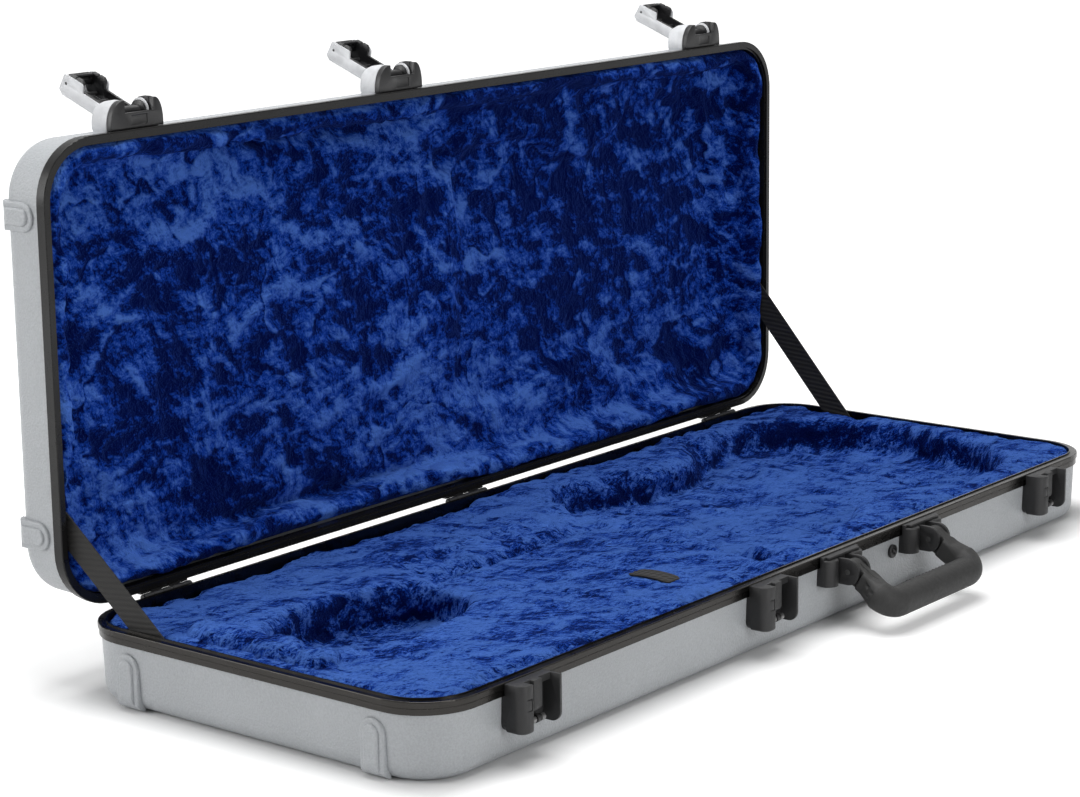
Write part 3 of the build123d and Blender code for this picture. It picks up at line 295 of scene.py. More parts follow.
def bump_and_painted_light_slope(made, vector, scale, step, detail, gain):
    """Painted light and shade of the pile, also used as a bump: a noise's slope along a step towards the
    light, lighter where it faces the light.
    """
    ahead = made.node("ShaderNodeVectorMath", {0: vector}, operation="ADD")
    ahead.inputs[1].default_value = step
    here = made.noise(vector, scale, detail, 0.6, 0.3)
    there = made.noise(ahead.outputs[0], scale, detail, 0.6, 0.3)
    return made.maths("MULTIPLY", made.maths("SUBTRACT", here, there), gain)


def crease_shade_and_highlight(made, vector, scale, gain):
    """Long thin creases that come and go, with painted shade on one side and a painted highlight on the
    other; also used as a bump.
    """
    level = made.noise(vector, scale, 2.5, 0.5, 0.2)
    edge = made.ramp(level, [(0.455, 0.5), (0.490, 0.08), (0.510, 0.95), (0.575, 0.5)])
    present = made.ramp(made.noise(vector, scale * 0.7, 1.0), [(0.42, 0.15), (0.58, 1.0)])
    swing = made.maths("MULTIPLY", made.maths("SUBTRACT", edge, 0.5), present)
    return made.maths("MULTIPLY", swing, gain)


def strayed(made, place, size):
    """Places that stray a little, widely and finely, so that patches have uneven edges."""
    wide = made.node("ShaderNodeTexNoise", {"Vector": place}, Scale=size * 0.5, Detail=3.0)
    fine = made.node("ShaderNodeTexNoise", {"Vector": place}, Scale=size * 3.0, Detail=2.0)
    moved = place
    for source, reach in ((wide, 0.035), (fine, 0.007)):
        shift = made.node("ShaderNodeVectorMath", {0: source.outputs["Color"]}, operation="SCALE")
        shift.inputs["Scale"].default_value = reach
        added = made.node("ShaderNodeVectorMath", {0: moved, 1: shift.outputs[0]}, operation="ADD")
        moved = added.outputs[0]
    return moved


def plush_finish(name, colours, size, step, depth, grain):
    """Crushed pile fabric: patches of lying and standing pile, strands and sheen, with painted light and
    shade: lighter where the pile's slopes face the light along the step, darker where they face away.
    """
    dark, middle, light = tuple(colours.plush_painted_shade), tuple(colours.plush_mid), tuple(colours.plush_painted_sheen)
    made = Finish(name, middle, 0.9)
    place = made.mapping()
    moved = strayed(made, place, size)
    far = tuple(0.20 / size * v for v in step)
    near = tuple(0.065 / size * v for v in step)
    # The patches, clumps, tufts and creases get painted light where they face the light along the step and
    # painted shade where they face away; they are bumps as well.
    patches = bump_and_painted_light_slope(made, moved, size, far, 5.0, 2.3)
    close = tuple(0.022 / size * v for v in step)
    clumps = bump_and_painted_light_slope(made, moved, size * 3.4, near, 4.0, 1.2)
    tufts = bump_and_painted_light_slope(made, moved, size * 9.0, close, 3.0, grain)
    creases = crease_shade_and_highlight(made, moved, size * 0.75, 0.42)
    region = made.maths("MULTIPLY", made.maths("SUBTRACT", made.noise(place, size * 0.45, 3.0), 0.5), 0.95)
    value = made.maths("ADD", made.maths("ADD", patches, clumps), made.maths("ADD", region, creases))
    value = made.maths("ADD", value, tufts)
    # Painted shade and light kept on the linings' vertices.
    painted_shading = made.node("ShaderNodeAttribute", attribute_name="painted_shading")
    value = made.maths("ADD", value, painted_shading.outputs["Fac"])
    # The depth lifts or lowers the whole tone: painted light for the base's plush, painted shade for the
    # lid's.
    value = made.maths("ADD", value, 0.5 + depth)
    fibres = made.noise(place, size * 42.0, 3.0, 0.7, 0.6)
    value = made.maths("ADD", value, made.maths("MULTIPLY", made.maths("SUBTRACT", fibres, 0.5), 0.45))
    # The ramp runs from painted shade through the plush's own colour to painted sheen.
    tone = made.ramp(value, [(0.30, dark), (0.47, middle), (0.80, light)])
    normal = made.bump(patches, 0.012, 0.8)
    normal = made.bump(creases, 0.006, 0.8, normal)
    normal = made.bump(clumps, 0.004, 0.8, normal)
    normal = made.bump(tufts, 0.003, 0.8, normal)
    normal = made.bump(fibres, 0.0020, 0.9, normal)
    made.shader.inputs["Sheen Weight"].default_value = 0.8
    made.shader.inputs["Sheen Roughness"].default_value = 0.35
    made.shader.inputs["Specular IOR Level"].default_value = 0.03
    sheen = made.mix(0.70, (0.10, 0.24, 1.0), tone)
    return made.use(Base_Color=tone, Normal=normal, Sheen_Tint=sheen)


def moulded_finish(name, base, roughness, grain=1500.0, depth=0.00012):
    """Fine-grained moulded plastic or rubber."""
    made = Finish(name, base, roughness)
    place = made.mapping()
    tone = made.ramp(made.noise(place, 60.0, 4.0), [(0.3, shade(base, 0.85)), (0.7, shade(base, 1.15))])
    gloss = made.ramp(made.noise(place, 300.0, 3.0), [(0.3, roughness - 0.06), (0.7, roughness + 0.08)])
    normal = made.bump(made.noise(place, grain, 2.0), depth, 0.7)
    return made.use(Base_Color=tone, Roughness=gloss, Normal=normal)


def metal_finish(name, base, roughness):
    """Plain worked metal with fine scratches."""
    made = Finish(name, base, roughness, 1.0)
    place = made.mapping(scale=(8, 1, 1))
    lines = made.noise(place, 400.0, 3.0)
    gloss = made.ramp(lines, [(0.3, roughness - 0.07), (0.7, roughness + 0.1)])
    return made.use(Roughness=gloss, Normal=made.bump(lines, 0.00006, 0.5))


def webbing_finish(colours):
    """Woven strap with diagonal ribs."""
    base = tuple(colours.webbing)
    made = Finish("webbing", base, 0.8)
    layout = made.tree.nodes.new("ShaderNodeUVMap")
    layout.uv_map = "strap"
    weave = {"Vector": layout.outputs["UV"]}
    ribs = made.node("ShaderNodeTexWave", weave, Scale=95.0, Distortion=0.6, Detail=2.0)
    ribs.wave_type = "BANDS"
    ribs.bands_direction = "DIAGONAL"
    yarns = made.node("ShaderNodeTexWave", weave, Scale=260.0, Distortion=0.3)
    yarns.bands_direction = "Y"
    tone = made.ramp(ribs.outputs["Fac"], [(0.25, shade(base, 0.55)), (0.8, shade(base, 1.7))])
    normal = made.bump(ribs.outputs["Fac"], 0.0005, 0.8)
    normal = made.bump(yarns.outputs["Fac"], 0.0002, 0.6, normal)
    made.shader.inputs["Sheen Weight"].default_value = 0.05
    return made.use(Base_Color=tone, Normal=normal)


finishes = {}


def make_finishes(colours):
    """Every finish, once."""
    finishes.update(
        shell=shell_finish(colours),
        rim=rim_finish("rim_anodised", tuple(colours.rim), 0.0),
        # Painted reflection: a lighter, metallic copy of the lid's rim finish.
        base_rim=rim_finish("base_rim_anodised", tuple(colours.base_rim), 1.0),
        # Both are the same blue plush; the base's higher depth is painted light and the lid's lower depth
        # painted shade, and each step points towards the light.
        plush=plush_finish("plush_base", colours, 22.0, (0.5, 0.8, 0.3), 0.13, 2.2),
        lid_plush=plush_finish("plush_lid", colours, 14.5, (0.45, 0.1, 0.85), -0.12, 0.9),
        latch=moulded_finish("latch_plastic", tuple(colours.latch), 0.50),
        dark=moulded_finish("dark_plastic", tuple(colours.dark), 0.38),
        cover=moulded_finish("light_cover", tuple(colours.cover), 0.34, 900.0, 0.00006),
        grip=moulded_finish("grip_rubber", tuple(colours.grip), 0.62, 1100.0, 0.0002),
        black_metal=moulded_finish("black_metal", tuple(colours.dark), 0.34, 700.0, 0.00008),
        steel=metal_finish("dark_steel", (0.20, 0.20, 0.20), 0.38),
        webbing=webbing_finish(colours),
        board=moulded_finish("board", (0.06, 0.045, 0.035), 0.85),
    )


def dress(node, finish):
    """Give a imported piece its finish."""
    piece = frame["nodes"][node]
    piece.data.materials.clear()
    piece.data.materials.append(finishes[finish])


def new_piece(name, mesh, finish, body, replaces=()):
    """Put a finished mesh in the scene and on its body."""
    piece = bpy.data.objects.new(name, mesh)
    bpy.context.scene.collection.objects.link(piece)
    mesh.materials.clear()
    mesh.materials.append(finishes[finish])
    if body:
        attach(piece, body)
    if replaces:
        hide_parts(*replaces)
    return piece


def merged_copy(name, nodes):
    """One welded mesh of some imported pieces."""
    bm = bmesh.new()
    for node in nodes:
        bm.from_mesh(frame["nodes"][node].data)
    bmesh.ops.remove_doubles(bm, verts=bm.verts, dist=1e-6)
    mesh = bpy.data.meshes.new(name)
    bm.to_mesh(mesh)
    bm.free()
    return mesh


def applied(mesh, modifiers):
    """A mesh with some modifiers applied, as a new mesh."""
    piece = bpy.data.objects.new("working", mesh)
    bpy.context.scene.collection.objects.link(piece)
    for kind, values in modifiers:
        modifier = piece.modifiers.new(kind.lower(), kind)
        for key, value in values.items():
            setattr(modifier, key, value)
    bpy.context.view_layer.update()
    made = bpy.data.meshes.new_from_object(piece.evaluated_get(bpy.context.evaluated_depsgraph_get()))
    bpy.data.objects.remove(piece)
    return made


def soft_edges(node, finish, body, width):
    """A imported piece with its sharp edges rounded."""
    bm = bmesh.new()
    bm.from_mesh(frame["nodes"][node].data)
    bmesh.ops.remove_doubles(bm, verts=bm.verts, dist=1e-6)
    bmesh.ops.dissolve_limit(bm, angle_limit=math.radians(1.0), verts=bm.verts, edges=bm.edges)
    mesh = bpy.data.meshes.new(node + "_rounded")
    bm.to_mesh(mesh)
    bm.free()
    bevel = {
        "width": width,
        "segments": BEVEL_SEGMENTS,
        "limit_method": "ANGLE",
        "angle_limit": math.radians(BEVEL_ANGLE),
        "use_clamp_overlap": True,
        "harden_normals": False,
    }
    made = applied(mesh, [("BEVEL", bevel)])
    made.shade_smooth()
    made.set_sharp_from_angle(angle=math.radians(35))
    return new_piece(node + "_piece", made, finish, body, [node])


def positions(mesh):
    """A mesh's vertex places as an array."""
    found = np.empty(len(mesh.vertices) * 3, np.float32)
    mesh.vertices.foreach_get("co", found)
    return found.reshape(-1, 3).astype(float)


def directions(mesh):
    """A mesh's vertex normals as an array."""
    found = np.empty(len(mesh.vertices) * 3, np.float32)
    mesh.vertex_normals.foreach_get("vector", found)
    return found.reshape(-1, 3).astype(float)


def place_vertices(mesh, points):
    """Write vertex places back."""
    mesh.vertices.foreach_set("co", points.astype(np.float32).ravel())
    mesh.update()


def rising(values, start, span):
    """From 0 at the start to 1 a span further."""
    return np.clip((values - start) / span, 0, 1)


def falling(values, end, span):
    """From 1 a span before the end to 0 at the end."""
    return np.clip((end - values) / span, 0, 1)


def paint_shading(mesh, values):
    """Keep each vertex's painted shade and light value for the finish."""
    layer = mesh.attributes.new("painted_shading", "FLOAT", "POINT")
    layer.data.foreach_set("value", values.astype(np.float32))


def rumple(points, seed, size):
    """Soft folds, creases and clumps of pile at each point, from about -1 to 1."""
    noise.seed_set(seed)
    offset = Vector((seed * 13.7, seed * 5.1, seed * 9.3))
    values = np.empty(len(points))
    for index, point in enumerate(points):
        where = Vector(point) * size
        spot = where + noise.noise_vector(where * 11.0 + offset) * 0.030
        spot = spot + noise.noise_vector(spot * 46.0 + offset) * 0.006 + offset
        folds = 1.0 - 2.2 * abs(noise.noise(spot * 21.0))
        creases = 1.0 - 2.6 * abs(noise.noise(spot * 47.0 + offset))
        clumps = noise.noise(spot * 105.0)
        values[index] = 0.55 * folds + 0.34 * creases + 0.30 * clumps - 0.25
    return np.clip(values, -1.2, 1.2)


def settle_cloth(mesh, reach, frames, hold):
    """Let the covering swell and wrinkle as cloth; each point moves at most the reach."""
    start = positions(mesh)
    piece = bpy.data.objects.new("cloth_form", mesh)
    bpy.context.scene.collection.objects.link(piece)
    held = piece.vertex_groups.new(name="held")
    held.add([int(i) for i in np.nonzero(hold(start))[0]], 1.0, "REPLACE")
    cloth = piece.modifiers.new("cloth", "CLOTH")
    for key, value in CLOTH_SETTINGS.items():
        setattr(cloth.settings, key, value)
    cloth.settings.effector_weights.gravity = 0.0
    cloth.collision_settings.use_collision = False
    cloth.point_cache.frame_start = 1
    cloth.point_cache.frame_end = frames
    scene = bpy.context.scene
    for step in range(1, frames + 1):
        scene.frame_set(step)
    settled = bpy.data.meshes.new_from_object(piece.evaluated_get(bpy.context.evaluated_depsgraph_get()))
    bpy.data.objects.remove(piece)
    scene.frame_set(1)
    moved = positions(settled) - start
    far = np.linalg.norm(moved, axis=1, keepdims=True)
    place_vertices(settled, start + moved * np.minimum(1.0, reach / np.maximum(far, 1e-9)))
    return settled


def plush_form(name, nodes, voxel):
    """A remeshed, smoothed cover of some packed soft pieces."""
    mesh = merged_copy(name, nodes)
    steps = [
        ("REMESH", {"mode": "VOXEL", "voxel_size": voxel, "adaptivity": 0.0}),
        ("SMOOTH", {"factor": 0.5, "iterations": SMOOTHING_ROUNDS}),
    ]
    return applied(mesh, steps)


def cut_back(mesh, place, direction):
    """Take off the hidden back of a lining and close it with one flat face."""
    bm = bmesh.new()
    bm.from_mesh(mesh)
    everything = bm.verts[:] + bm.edges[:] + bm.faces[:]
    bmesh.ops.bisect_plane(bm, geom=everything, plane_co=place, plane_no=direction, clear_inner=True)
    bmesh.ops.holes_fill(bm, edges=[e for e in bm.edges if e.is_boundary])
    bm.to_mesh(mesh)
    bm.free()


def finer(mesh):
    """The mesh with each face split once, smoothly."""
    return applied(mesh, [("SUBSURF", {"levels": 1, "render_levels": 1})])


class CASE_OT_finishes(bpy.types.Operator):
    """Make the finishes and give each packed hard piece its own."""

    bl_idname = "guitar_case.finishes"
    bl_label = "Finishes of the packed pieces"

    def execute(self, context):
        make_finishes(context.scene.case_colours)
        by_slot = {
            "shell": "shell",
            "rim": "rim",
            "plush": "plush",
            "plush_lid": "lid_plush",
            "board": "board",
            "webbing": "webbing",
            "latch_body": "latch",
            "black_plastic": "dark",
            "silver_plastic": "cover",
            "grip": "grip",
            "black_metal": "black_metal",
            "steel": "steel",
        }
        for part in frame["record"]["subparts"]:
            dress(part["node"], by_slot[part["material_slot"]])
        # The base's rim gets its own lighter, metallic finish: painted reflection.
        dress("base_rim", "base_rim")
        return {"FINISHED"}


def wall_gap(across, along, half_across, half_along):
    """How far places lie inside a lining's rounded plan outline."""
    out_a = np.clip(np.abs(across) - (half_across - LINING_CORNER), 0, None)
    out_b = np.clip(np.abs(along) - (half_along - LINING_CORNER), 0, None)
    return LINING_CORNER - np.hypot(out_a, out_b)


class CASE_OT_base_lining(bpy.types.Operator):
    """The plush lining of the base, with its recesses."""

    bl_idname = "guitar_case.base_lining"
    bl_label = "Base lining"

    def execute(self, context):
        sizes = context.scene.plush_sizes
        names = [n for n in frame["nodes"] if n.startswith("lining_")]
        mesh = plush_form("base_plush", names, sizes.voxel)
        low, high = union_box(names)

        def hidden(points):
            walls = wall_gap(points[:, 0], points[:, 1], high.x, high.y) < PINNED_WALL
            return (points[:, 2] < low.z + BASE_PINNED) | (walls & (points[:, 2] < high.z - BASE_FREE))

        mesh = settle_cloth(mesh, sizes.cloth_reach, sizes.frames, hidden)
        mesh = finer(mesh)
        cut_back(mesh, (0, 0, low.z + BASE_CUT), (0, 0, 1))
        points = positions(mesh)
        facing = directions(mesh)
        depth = rising(points[:, 2], low.z + 0.008, 0.012)
        gap = wall_gap(points[:, 0], points[:, 1], high.x, high.y)
        crown = rising(points[:, 2], high.z - 0.012, 0.006)
        free = depth * np.maximum(rising(gap, 0.003, 0.005), crown)
        folds = rumple(points, 1, 1.0)
        points += facing * (folds * sizes.pile_lift * free)[:, None]
        fill_to_rim(points, high, sizes.top, BASE_SPILL)
        place_vertices(mesh, points)
        # Painted shade on the recesses' walls, more below the recess foot, and in the folds' valleys; painted
        # light on the folds' tops.
        floor = falling(points[:, 2], RECESS_FOOT, 0.010)
        wall = 1.0 - np.clip(facing[:, 2], 0, 1)
        paint_shading(mesh, 0.24 * folds - 0.18 * floor * wall - 0.34 * wall)
        mesh.shade_smooth()
        piece = new_piece("base_plush_lining", mesh, "plush", "base", names)
        return {"FINISHED"}


def union_box(names):
    """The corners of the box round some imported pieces."""
    corners = [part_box(name) for name in names]
    low = Vector(min(c[0][i] for c in corners) for i in range(3))
    high = Vector(max(c[1][i] for c in corners) for i in range(3))
    return low, high


def fill_to_rim(points, high, top, spill):
    """Press the crown of the lining's outer edge up and out to the rim's inner face."""
    x_limit, y_limit, corner = high.x + spill, high.y + spill, 0.045
    flat_x, flat_y = x_limit - corner, y_limit - corner
    out_x = np.sign(points[:, 0]) * np.clip(np.abs(points[:, 0]) - flat_x, 0, None)
    out_y = np.sign(points[:, 1]) * np.clip(np.abs(points[:, 1]) - flat_y, 0, None)
    along = np.hypot(out_x, out_y)
    gap = np.clip(corner - along, 0, None)
    near = np.clip(1.0 - gap / 0.016, 0, 1)
    crown = rising(points[:, 2], high.z - 0.012, 0.009)
    share = crown * near**1.5 * gap / np.maximum(along, 1e-6)
    points[:, 0] += out_x * share * 0.9
    points[:, 1] += out_y * share * 0.9
    points[:, 2] += crown * near * (top - high.z)
    points[:, 2] = np.minimum(points[:, 2], top + 0.0008)
    points[:, 0] = np.clip(points[:, 0], -x_limit, x_limit)
    points[:, 1] = np.clip(points[:, 1], -y_limit, y_limit)


class CASE_OT_lid_lining(bpy.types.Operator):
    """The plush lining of the lid, with its padded walls."""

    bl_idname = "guitar_case.lid_lining"
    bl_label = "Lid lining"

    def execute(self, context):
        sizes = context.scene.plush_sizes
        mesh = plush_form("lid_plush", ["lid_lining"], sizes.voxel)
        low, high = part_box("lid_lining")
        centre, half = (low + high) / 2, (high - low) / 2

        def hidden(points):
            walls = wall_gap(points[:, 0], points[:, 2] - centre.z, half.x, half.z) < PINNED_WALL
            return (points[:, 1] > high.y - LID_PINNED) | (walls & (points[:, 1] > low.y + LID_FREE))

        mesh = settle_cloth(mesh, sizes.cloth_reach, sizes.frames, hidden)
        mesh = finer(mesh)
        cut_back(mesh, (0, high.y - LID_CUT, 0), (0, -1, 0))
        points = positions(mesh)
        facing = directions(mesh)
        depth = falling(points[:, 1], high.y - 0.006, 0.008)
        gap = wall_gap(points[:, 0], points[:, 2] - centre.z, half.x, half.z)
        free = depth * np.maximum(rising(gap, 0.002, 0.005), 0.1)
        folds = rumple(points, 2, 0.8)
        points += facing * (folds * sizes.pile_lift * 1.2 * free)[:, None]
        points[:, 0] = np.clip(points[:, 0], low.x - sizes.spill, high.x + sizes.spill)
        points[:, 2] = np.clip(points[:, 2], low.z - sizes.spill, high.z + sizes.spill)
        points[:, 1] = np.maximum(points[:, 1], low.y - 0.0018)
        place_vertices(mesh, points)
        # Painted light on the fold tops and on faces turned up, painted shade in the folds' valleys.
        paint_shading(mesh, 0.21 * folds + 0.16 * facing[:, 2])
        mesh.shade_smooth()
        piece = new_piece("lid_plush_lining", mesh, "lid_plush", "lid", ["lid_lining"])
        return {"FINISHED"}


def mound(points, node):
    """How much higher the cushion swells over its middle."""
    low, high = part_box(node)
    across = (points[:, 0] - low.x) / (high.x - low.x) * 2 - 1
    along = (points[:, 1] - low.y) / (high.y - low.y) * 2 - 1
    rise = np.clip((points[:, 2] - low.z) / (high.z - low.z), 0, 1)
    return CUSHION_SWELL * rise * np.clip(1 - across**2, 0, 1) ** 0.5 * np.clip(1 - along**2, 0, 1) ** 0.5


class CASE_OT_small_pads(bpy.types.Operator):
    """The head cushion, the accessory lid's pad and the lid's patch."""

    bl_idname = "guitar_case.small_pads"
    bl_label = "Small padded pieces"

    def execute(self, context):
        sizes = context.scene.plush_sizes
        pads = (
            ("head_cushion", "plush", "base", "plush", 1.28),
            ("accessory_pad", "plush", "accessory_lid", "plush", 0.55),
            ("lid_patch", "lid_plush", "lid", "plush_lid", 1.0),
        )
        for seed, (node, finish, body, slot, swell) in enumerate(pads, 5):
            mesh = plush_form(node + "_plush", [node], PAD_VOXEL)
            points = positions(mesh)
            facing = directions(mesh)
            folds = rumple(points, seed, 1.1)
            points += facing * (folds * sizes.pile_lift * swell)[:, None]
            if node == "head_cushion":
                points[:, 2] += mound(points, node)
                over = np.clip(points[:, 2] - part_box(node)[1].z - CUSHION_PRESS, 0, None)
                points[:, 2] -= CUSHION_FLATTEN * over
            place_vertices(mesh, points)
            # Painted light on the fold tops and painted shade in their valleys.
            paint_shading(mesh, 0.18 * folds)
            mesh.shade_smooth()
            piece = new_piece(node + "_plush", mesh, finish, body, [node])
        return {"FINISHED"}


def divided_stay(name):
    """A stay's mesh in short lengths with its layout, and its middle, direction and half length."""
    mesh = merged_copy(name + "_webbing", [name])
    points = positions(mesh)
    spread = points[:, 1:] - points[:, 1:].mean(0)
    main = np.linalg.svd(spread, full_matrices=False)[2][0]
    along = Vector((0, main[0], main[1])) * (1 if main[1] > 0 else -1)
    across = Vector((0, -along.z, along.y))
    centre = Vector((0, *points[:, 1:].mean(0)))
    reach = max(abs((Vector(p) - centre).dot(along)) for p in points)
    bm = bmesh.new()
    bm.from_mesh(mesh)
    layer = bm.loops.layers.uv.new("strap")
    for share in range(1, STAY_PARTS):
        spot = centre + along * (reach * (2 * share / STAY_PARTS - 1))
        everything = bm.verts[:] + bm.edges[:] + bm.faces[:]
        bmesh.ops.bisect_plane(bm, geom=everything, plane_co=spot, plane_no=along)
    for face in bm.faces:
        for loop in face.loops:
            loop[layer].uv = (loop.vert.co.dot(across), loop.vert.co.dot(along))
    bm.to_mesh(mesh)
    bm.free()
    return mesh, centre, along, reach


class CASE_OT_stays(bpy.types.Operator):
    """The two webbing stays between the base and the lid."""

    bl_idname = "guitar_case.stays"
    bl_label = "Webbing stays"

    def execute(self, context):
        for name in ("stay_left", "stay_right"):
            mesh, centre, along, reach = divided_stay(name)
            piece = new_piece(name + "_webbing", mesh, "webbing", None, [name])
            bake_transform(piece)
        return {"FINISHED"}


class CASE_OT_pull_tab(bpy.types.Operator):
    """The accessory lid's webbing pull tab."""

    bl_idname = "guitar_case.pull_tab"
    bl_label = "Pull tab"

    def execute(self, context):
        low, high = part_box("accessory_pull_tab")
        centre = (low + high) / 2
        bm = bmesh.new()
        made = bmesh.ops.create_grid(bm, x_segments=10, y_segments=22, size=0.5)
        layer = bm.loops.layers.uv.new("strap")
        size = high - low
        bmesh.ops.scale(bm, verts=made["verts"], vec=(size.x, size.y, 1.0))
        for vert in bm.verts:
            corner = max(0.0, abs(vert.co.y) - (size.y / 2 - TAB_ROUND)) / TAB_ROUND
            vert.co.x *= 1.0 - 0.30 * corner**2
            bow = 1.0 - (2 * vert.co.y / size.y) ** 2
            vert.co.z = 0.0022 * bow + 0.0004 * math.sin(vert.co.x * 900)
        for face in bm.faces:
            for loop in face.loops:
                loop[layer].uv = (loop.vert.co.x, loop.vert.co.y)
        bmesh.ops.translate(bm, verts=bm.verts, vec=(centre.x, centre.y, high.z))
        mesh = bpy.data.meshes.new("pull_tab_webbing")
        bm.to_mesh(mesh)
        bm.free()
        made = applied(mesh, [("SOLIDIFY", {"thickness": 0.0014, "offset": -1.0})])
        made.shade_smooth()
        new_piece("pull_tab_webbing", made, "webbing", "accessory_lid", ["accessory_pull_tab"])
        return {"FINISHED"}


class CASE_OT_latches(bpy.types.Operator):
    """The latches' housings, saddles, covers and levers with softened edges."""

    bl_idname = "guitar_case.latches"
    bl_label = "Latches"

    def execute(self, context):
        for number in (1, 2, 3):
            latch = f"latch_{number}_"
            soft_edges(latch + "housing", "latch", "base", 0.0006)
            soft_edges(latch + "saddle", "dark", "lid", 0.0005)
            soft_edges(latch + "cover", "cover", "lid", 0.0007)
            soft_edges(latch + "lever", "cover", f"lever_{number}", 0.0005)
            soft_edges(latch + "frame", "dark", f"lever_{number}", 0.0003)
            soft_edges(latch + "trigger", "dark", f"trigger_{number}", 0.0003)
            # A dark sheet of painted shade inside each cover's right cheek.
            add_cover_shade_sheet(latch)
        return {"FINISHED"}


def add_cover_shade_sheet(latch):
    """A dark sheet of painted shade over the inner side and the front edges of a cover's right cheek, where
    the channel lies in shadow.
    """
    low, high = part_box(latch + "cover")
    middle = (low.x + high.x) / 2
    bm = bmesh.new()
    bm.from_mesh(frame["nodes"][latch + "cover"].data)
    bmesh.ops.remove_doubles(bm, verts=bm.verts, dist=1e-6)
    bm.normal_update()

    def is_outside(face):
        seen = face.normal.x < -0.6 or (abs(face.normal.x) < 0.6 and face.normal.y - face.normal.z < -0.2)
        return face.calc_center_median().x < middle or not seen

    others = [f for f in bm.faces if is_outside(f)]
    bmesh.ops.delete(bm, geom=others, context="FACES")
    if not bm.faces:
        raise RuntimeError("the cover has no inner face for its shade_sheet")
    mesh = bpy.data.meshes.new(latch + "shade_sheet")
    bm.to_mesh(mesh)
    bm.free()
    made = applied(mesh, [("SOLIDIFY", {"thickness": 0.0006, "offset": 0.4})])
    new_piece(latch + "shade_sheet", made, "dark", "lid")


class CASE_OT_handle(bpy.types.Operator):
    """The moulded handle and its brackets."""

    bl_idname = "guitar_case.handle"
    bl_label = "Handle"

    def execute(self, context):
        for side in ("left", "right"):
            soft_edges("handle_bracket_" + side, "latch", "base", 0.0006)
        steps = [
            ("REMESH", {"mode": "VOXEL", "voxel_size": HANDLE_VOXEL, "adaptivity": 0.0}),
            ("SMOOTH", {"factor": 0.5, "iterations": 10}),
        ]
        mesh = applied(merged_copy("handle_moulding", ["handle"]), steps)
        mesh.shade_smooth()
        new_piece("handle_moulding", mesh, "grip", "handle", ["handle"])
        add_grip_dots(mesh)
        return {"FINISHED"}


def add_grip_dots(mesh):
    """Two short rows of small raised dots along the grip's upper side."""
    tree = BVHTree.FromPolygons([v.co for v in mesh.vertices], [p.vertices for p in mesh.polygons])
    low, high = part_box("handle")
    middle, centre = (low.x + high.x) / 2, Vector((0.0, low.y + GRIP_RADIUS, low.z + GRIP_RADIUS))
    bm = bmesh.new()
    for turn in DOT_ROWS:
        down = Vector((0, -math.sin(math.radians(turn)), -math.cos(math.radians(turn))))
        for count in range(-6, 7):
            start = Vector((middle + count * DOT_PITCH, centre.y, centre.z)) - down * 0.03
            place, normal = tree.ray_cast(start, down)[:2]
            if place is None:
                raise RuntimeError("the grip's surface is missing under a dot")
            turned = normal.to_track_quat("Z", "Y").to_matrix().to_4x4()
            form = Matrix.Translation(place) @ turned @ Matrix.Diagonal((1.0, 1.0, 0.55, 1.0))
            bmesh.ops.create_icosphere(bm, subdivisions=2, radius=DOT_RADIUS, matrix=form)
    dots = bpy.data.meshes.new("grip_dots")
    bm.to_mesh(dots)
    bm.free()
    dots.shade_smooth()
    new_piece("grip_dots", dots, "grip", "handle")


class CASE_OT_stage(bpy.types.Operator):
    """The pale floor, the soft lights and the camera."""

    bl_idname = "guitar_case.stage"
    bl_label = "Stage"

    def execute(self, context):
        scene = context.scene
        settings = scene.case_stage
        add_floor()
        add_air(settings.world)
        add_lights(settings)
        add_camera(settings)
        scene.view_settings.view_transform = "Standard"
        return {"FINISHED"}


def add_floor():
    """A wide pale floor that keeps the case's shadow."""
    bm = bmesh.new()
    bmesh.ops.create_grid(bm, x_segments=2, y_segments=2, size=14.0)
    mesh = bpy.data.meshes.new("studio_floor")
    bm.to_mesh(mesh)
    bm.free()
    floor = bpy.data.objects.new("studio_floor", mesh)
    bpy.context.scene.collection.objects.link(floor)
    mesh.materials.append(floor_finish())


def add_node(tree, kind, operation=None, links=None, **values):
    """Add a node, set its operation and its sockets, and link its inputs."""
    made = tree.nodes.new(kind)
    if operation:
        made.operation = operation
    for key, value in values.items():
        made.inputs[key.replace("_", " ")].default_value = value
    for key, source in (links or {}).items():
        tree.links.new(source, made.inputs[key])
    return made


def away_from_case(tree):
    """How far a place on the floor lies outside the base's outline."""
    place = add_node(tree, "ShaderNodeTexCoord")
    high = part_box("base_rim")[1]
    folded = add_node(tree, "ShaderNodeVectorMath", "ABSOLUTE", {0: place.outputs["Object"]})
    beyond = add_node(tree, "ShaderNodeVectorMath", "SUBTRACT", {0: folded.outputs[0]})
    beyond.inputs[1].default_value = (high.x, high.y, 0)
    outside = add_node(tree, "ShaderNodeVectorMath", "MAXIMUM", {0: beyond.outputs[0]})
    outside.inputs[1].default_value = (0, 0, 0)
    return add_node(tree, "ShaderNodeVectorMath", "LENGTH", {0: outside.outputs[0]}).outputs["Value"]


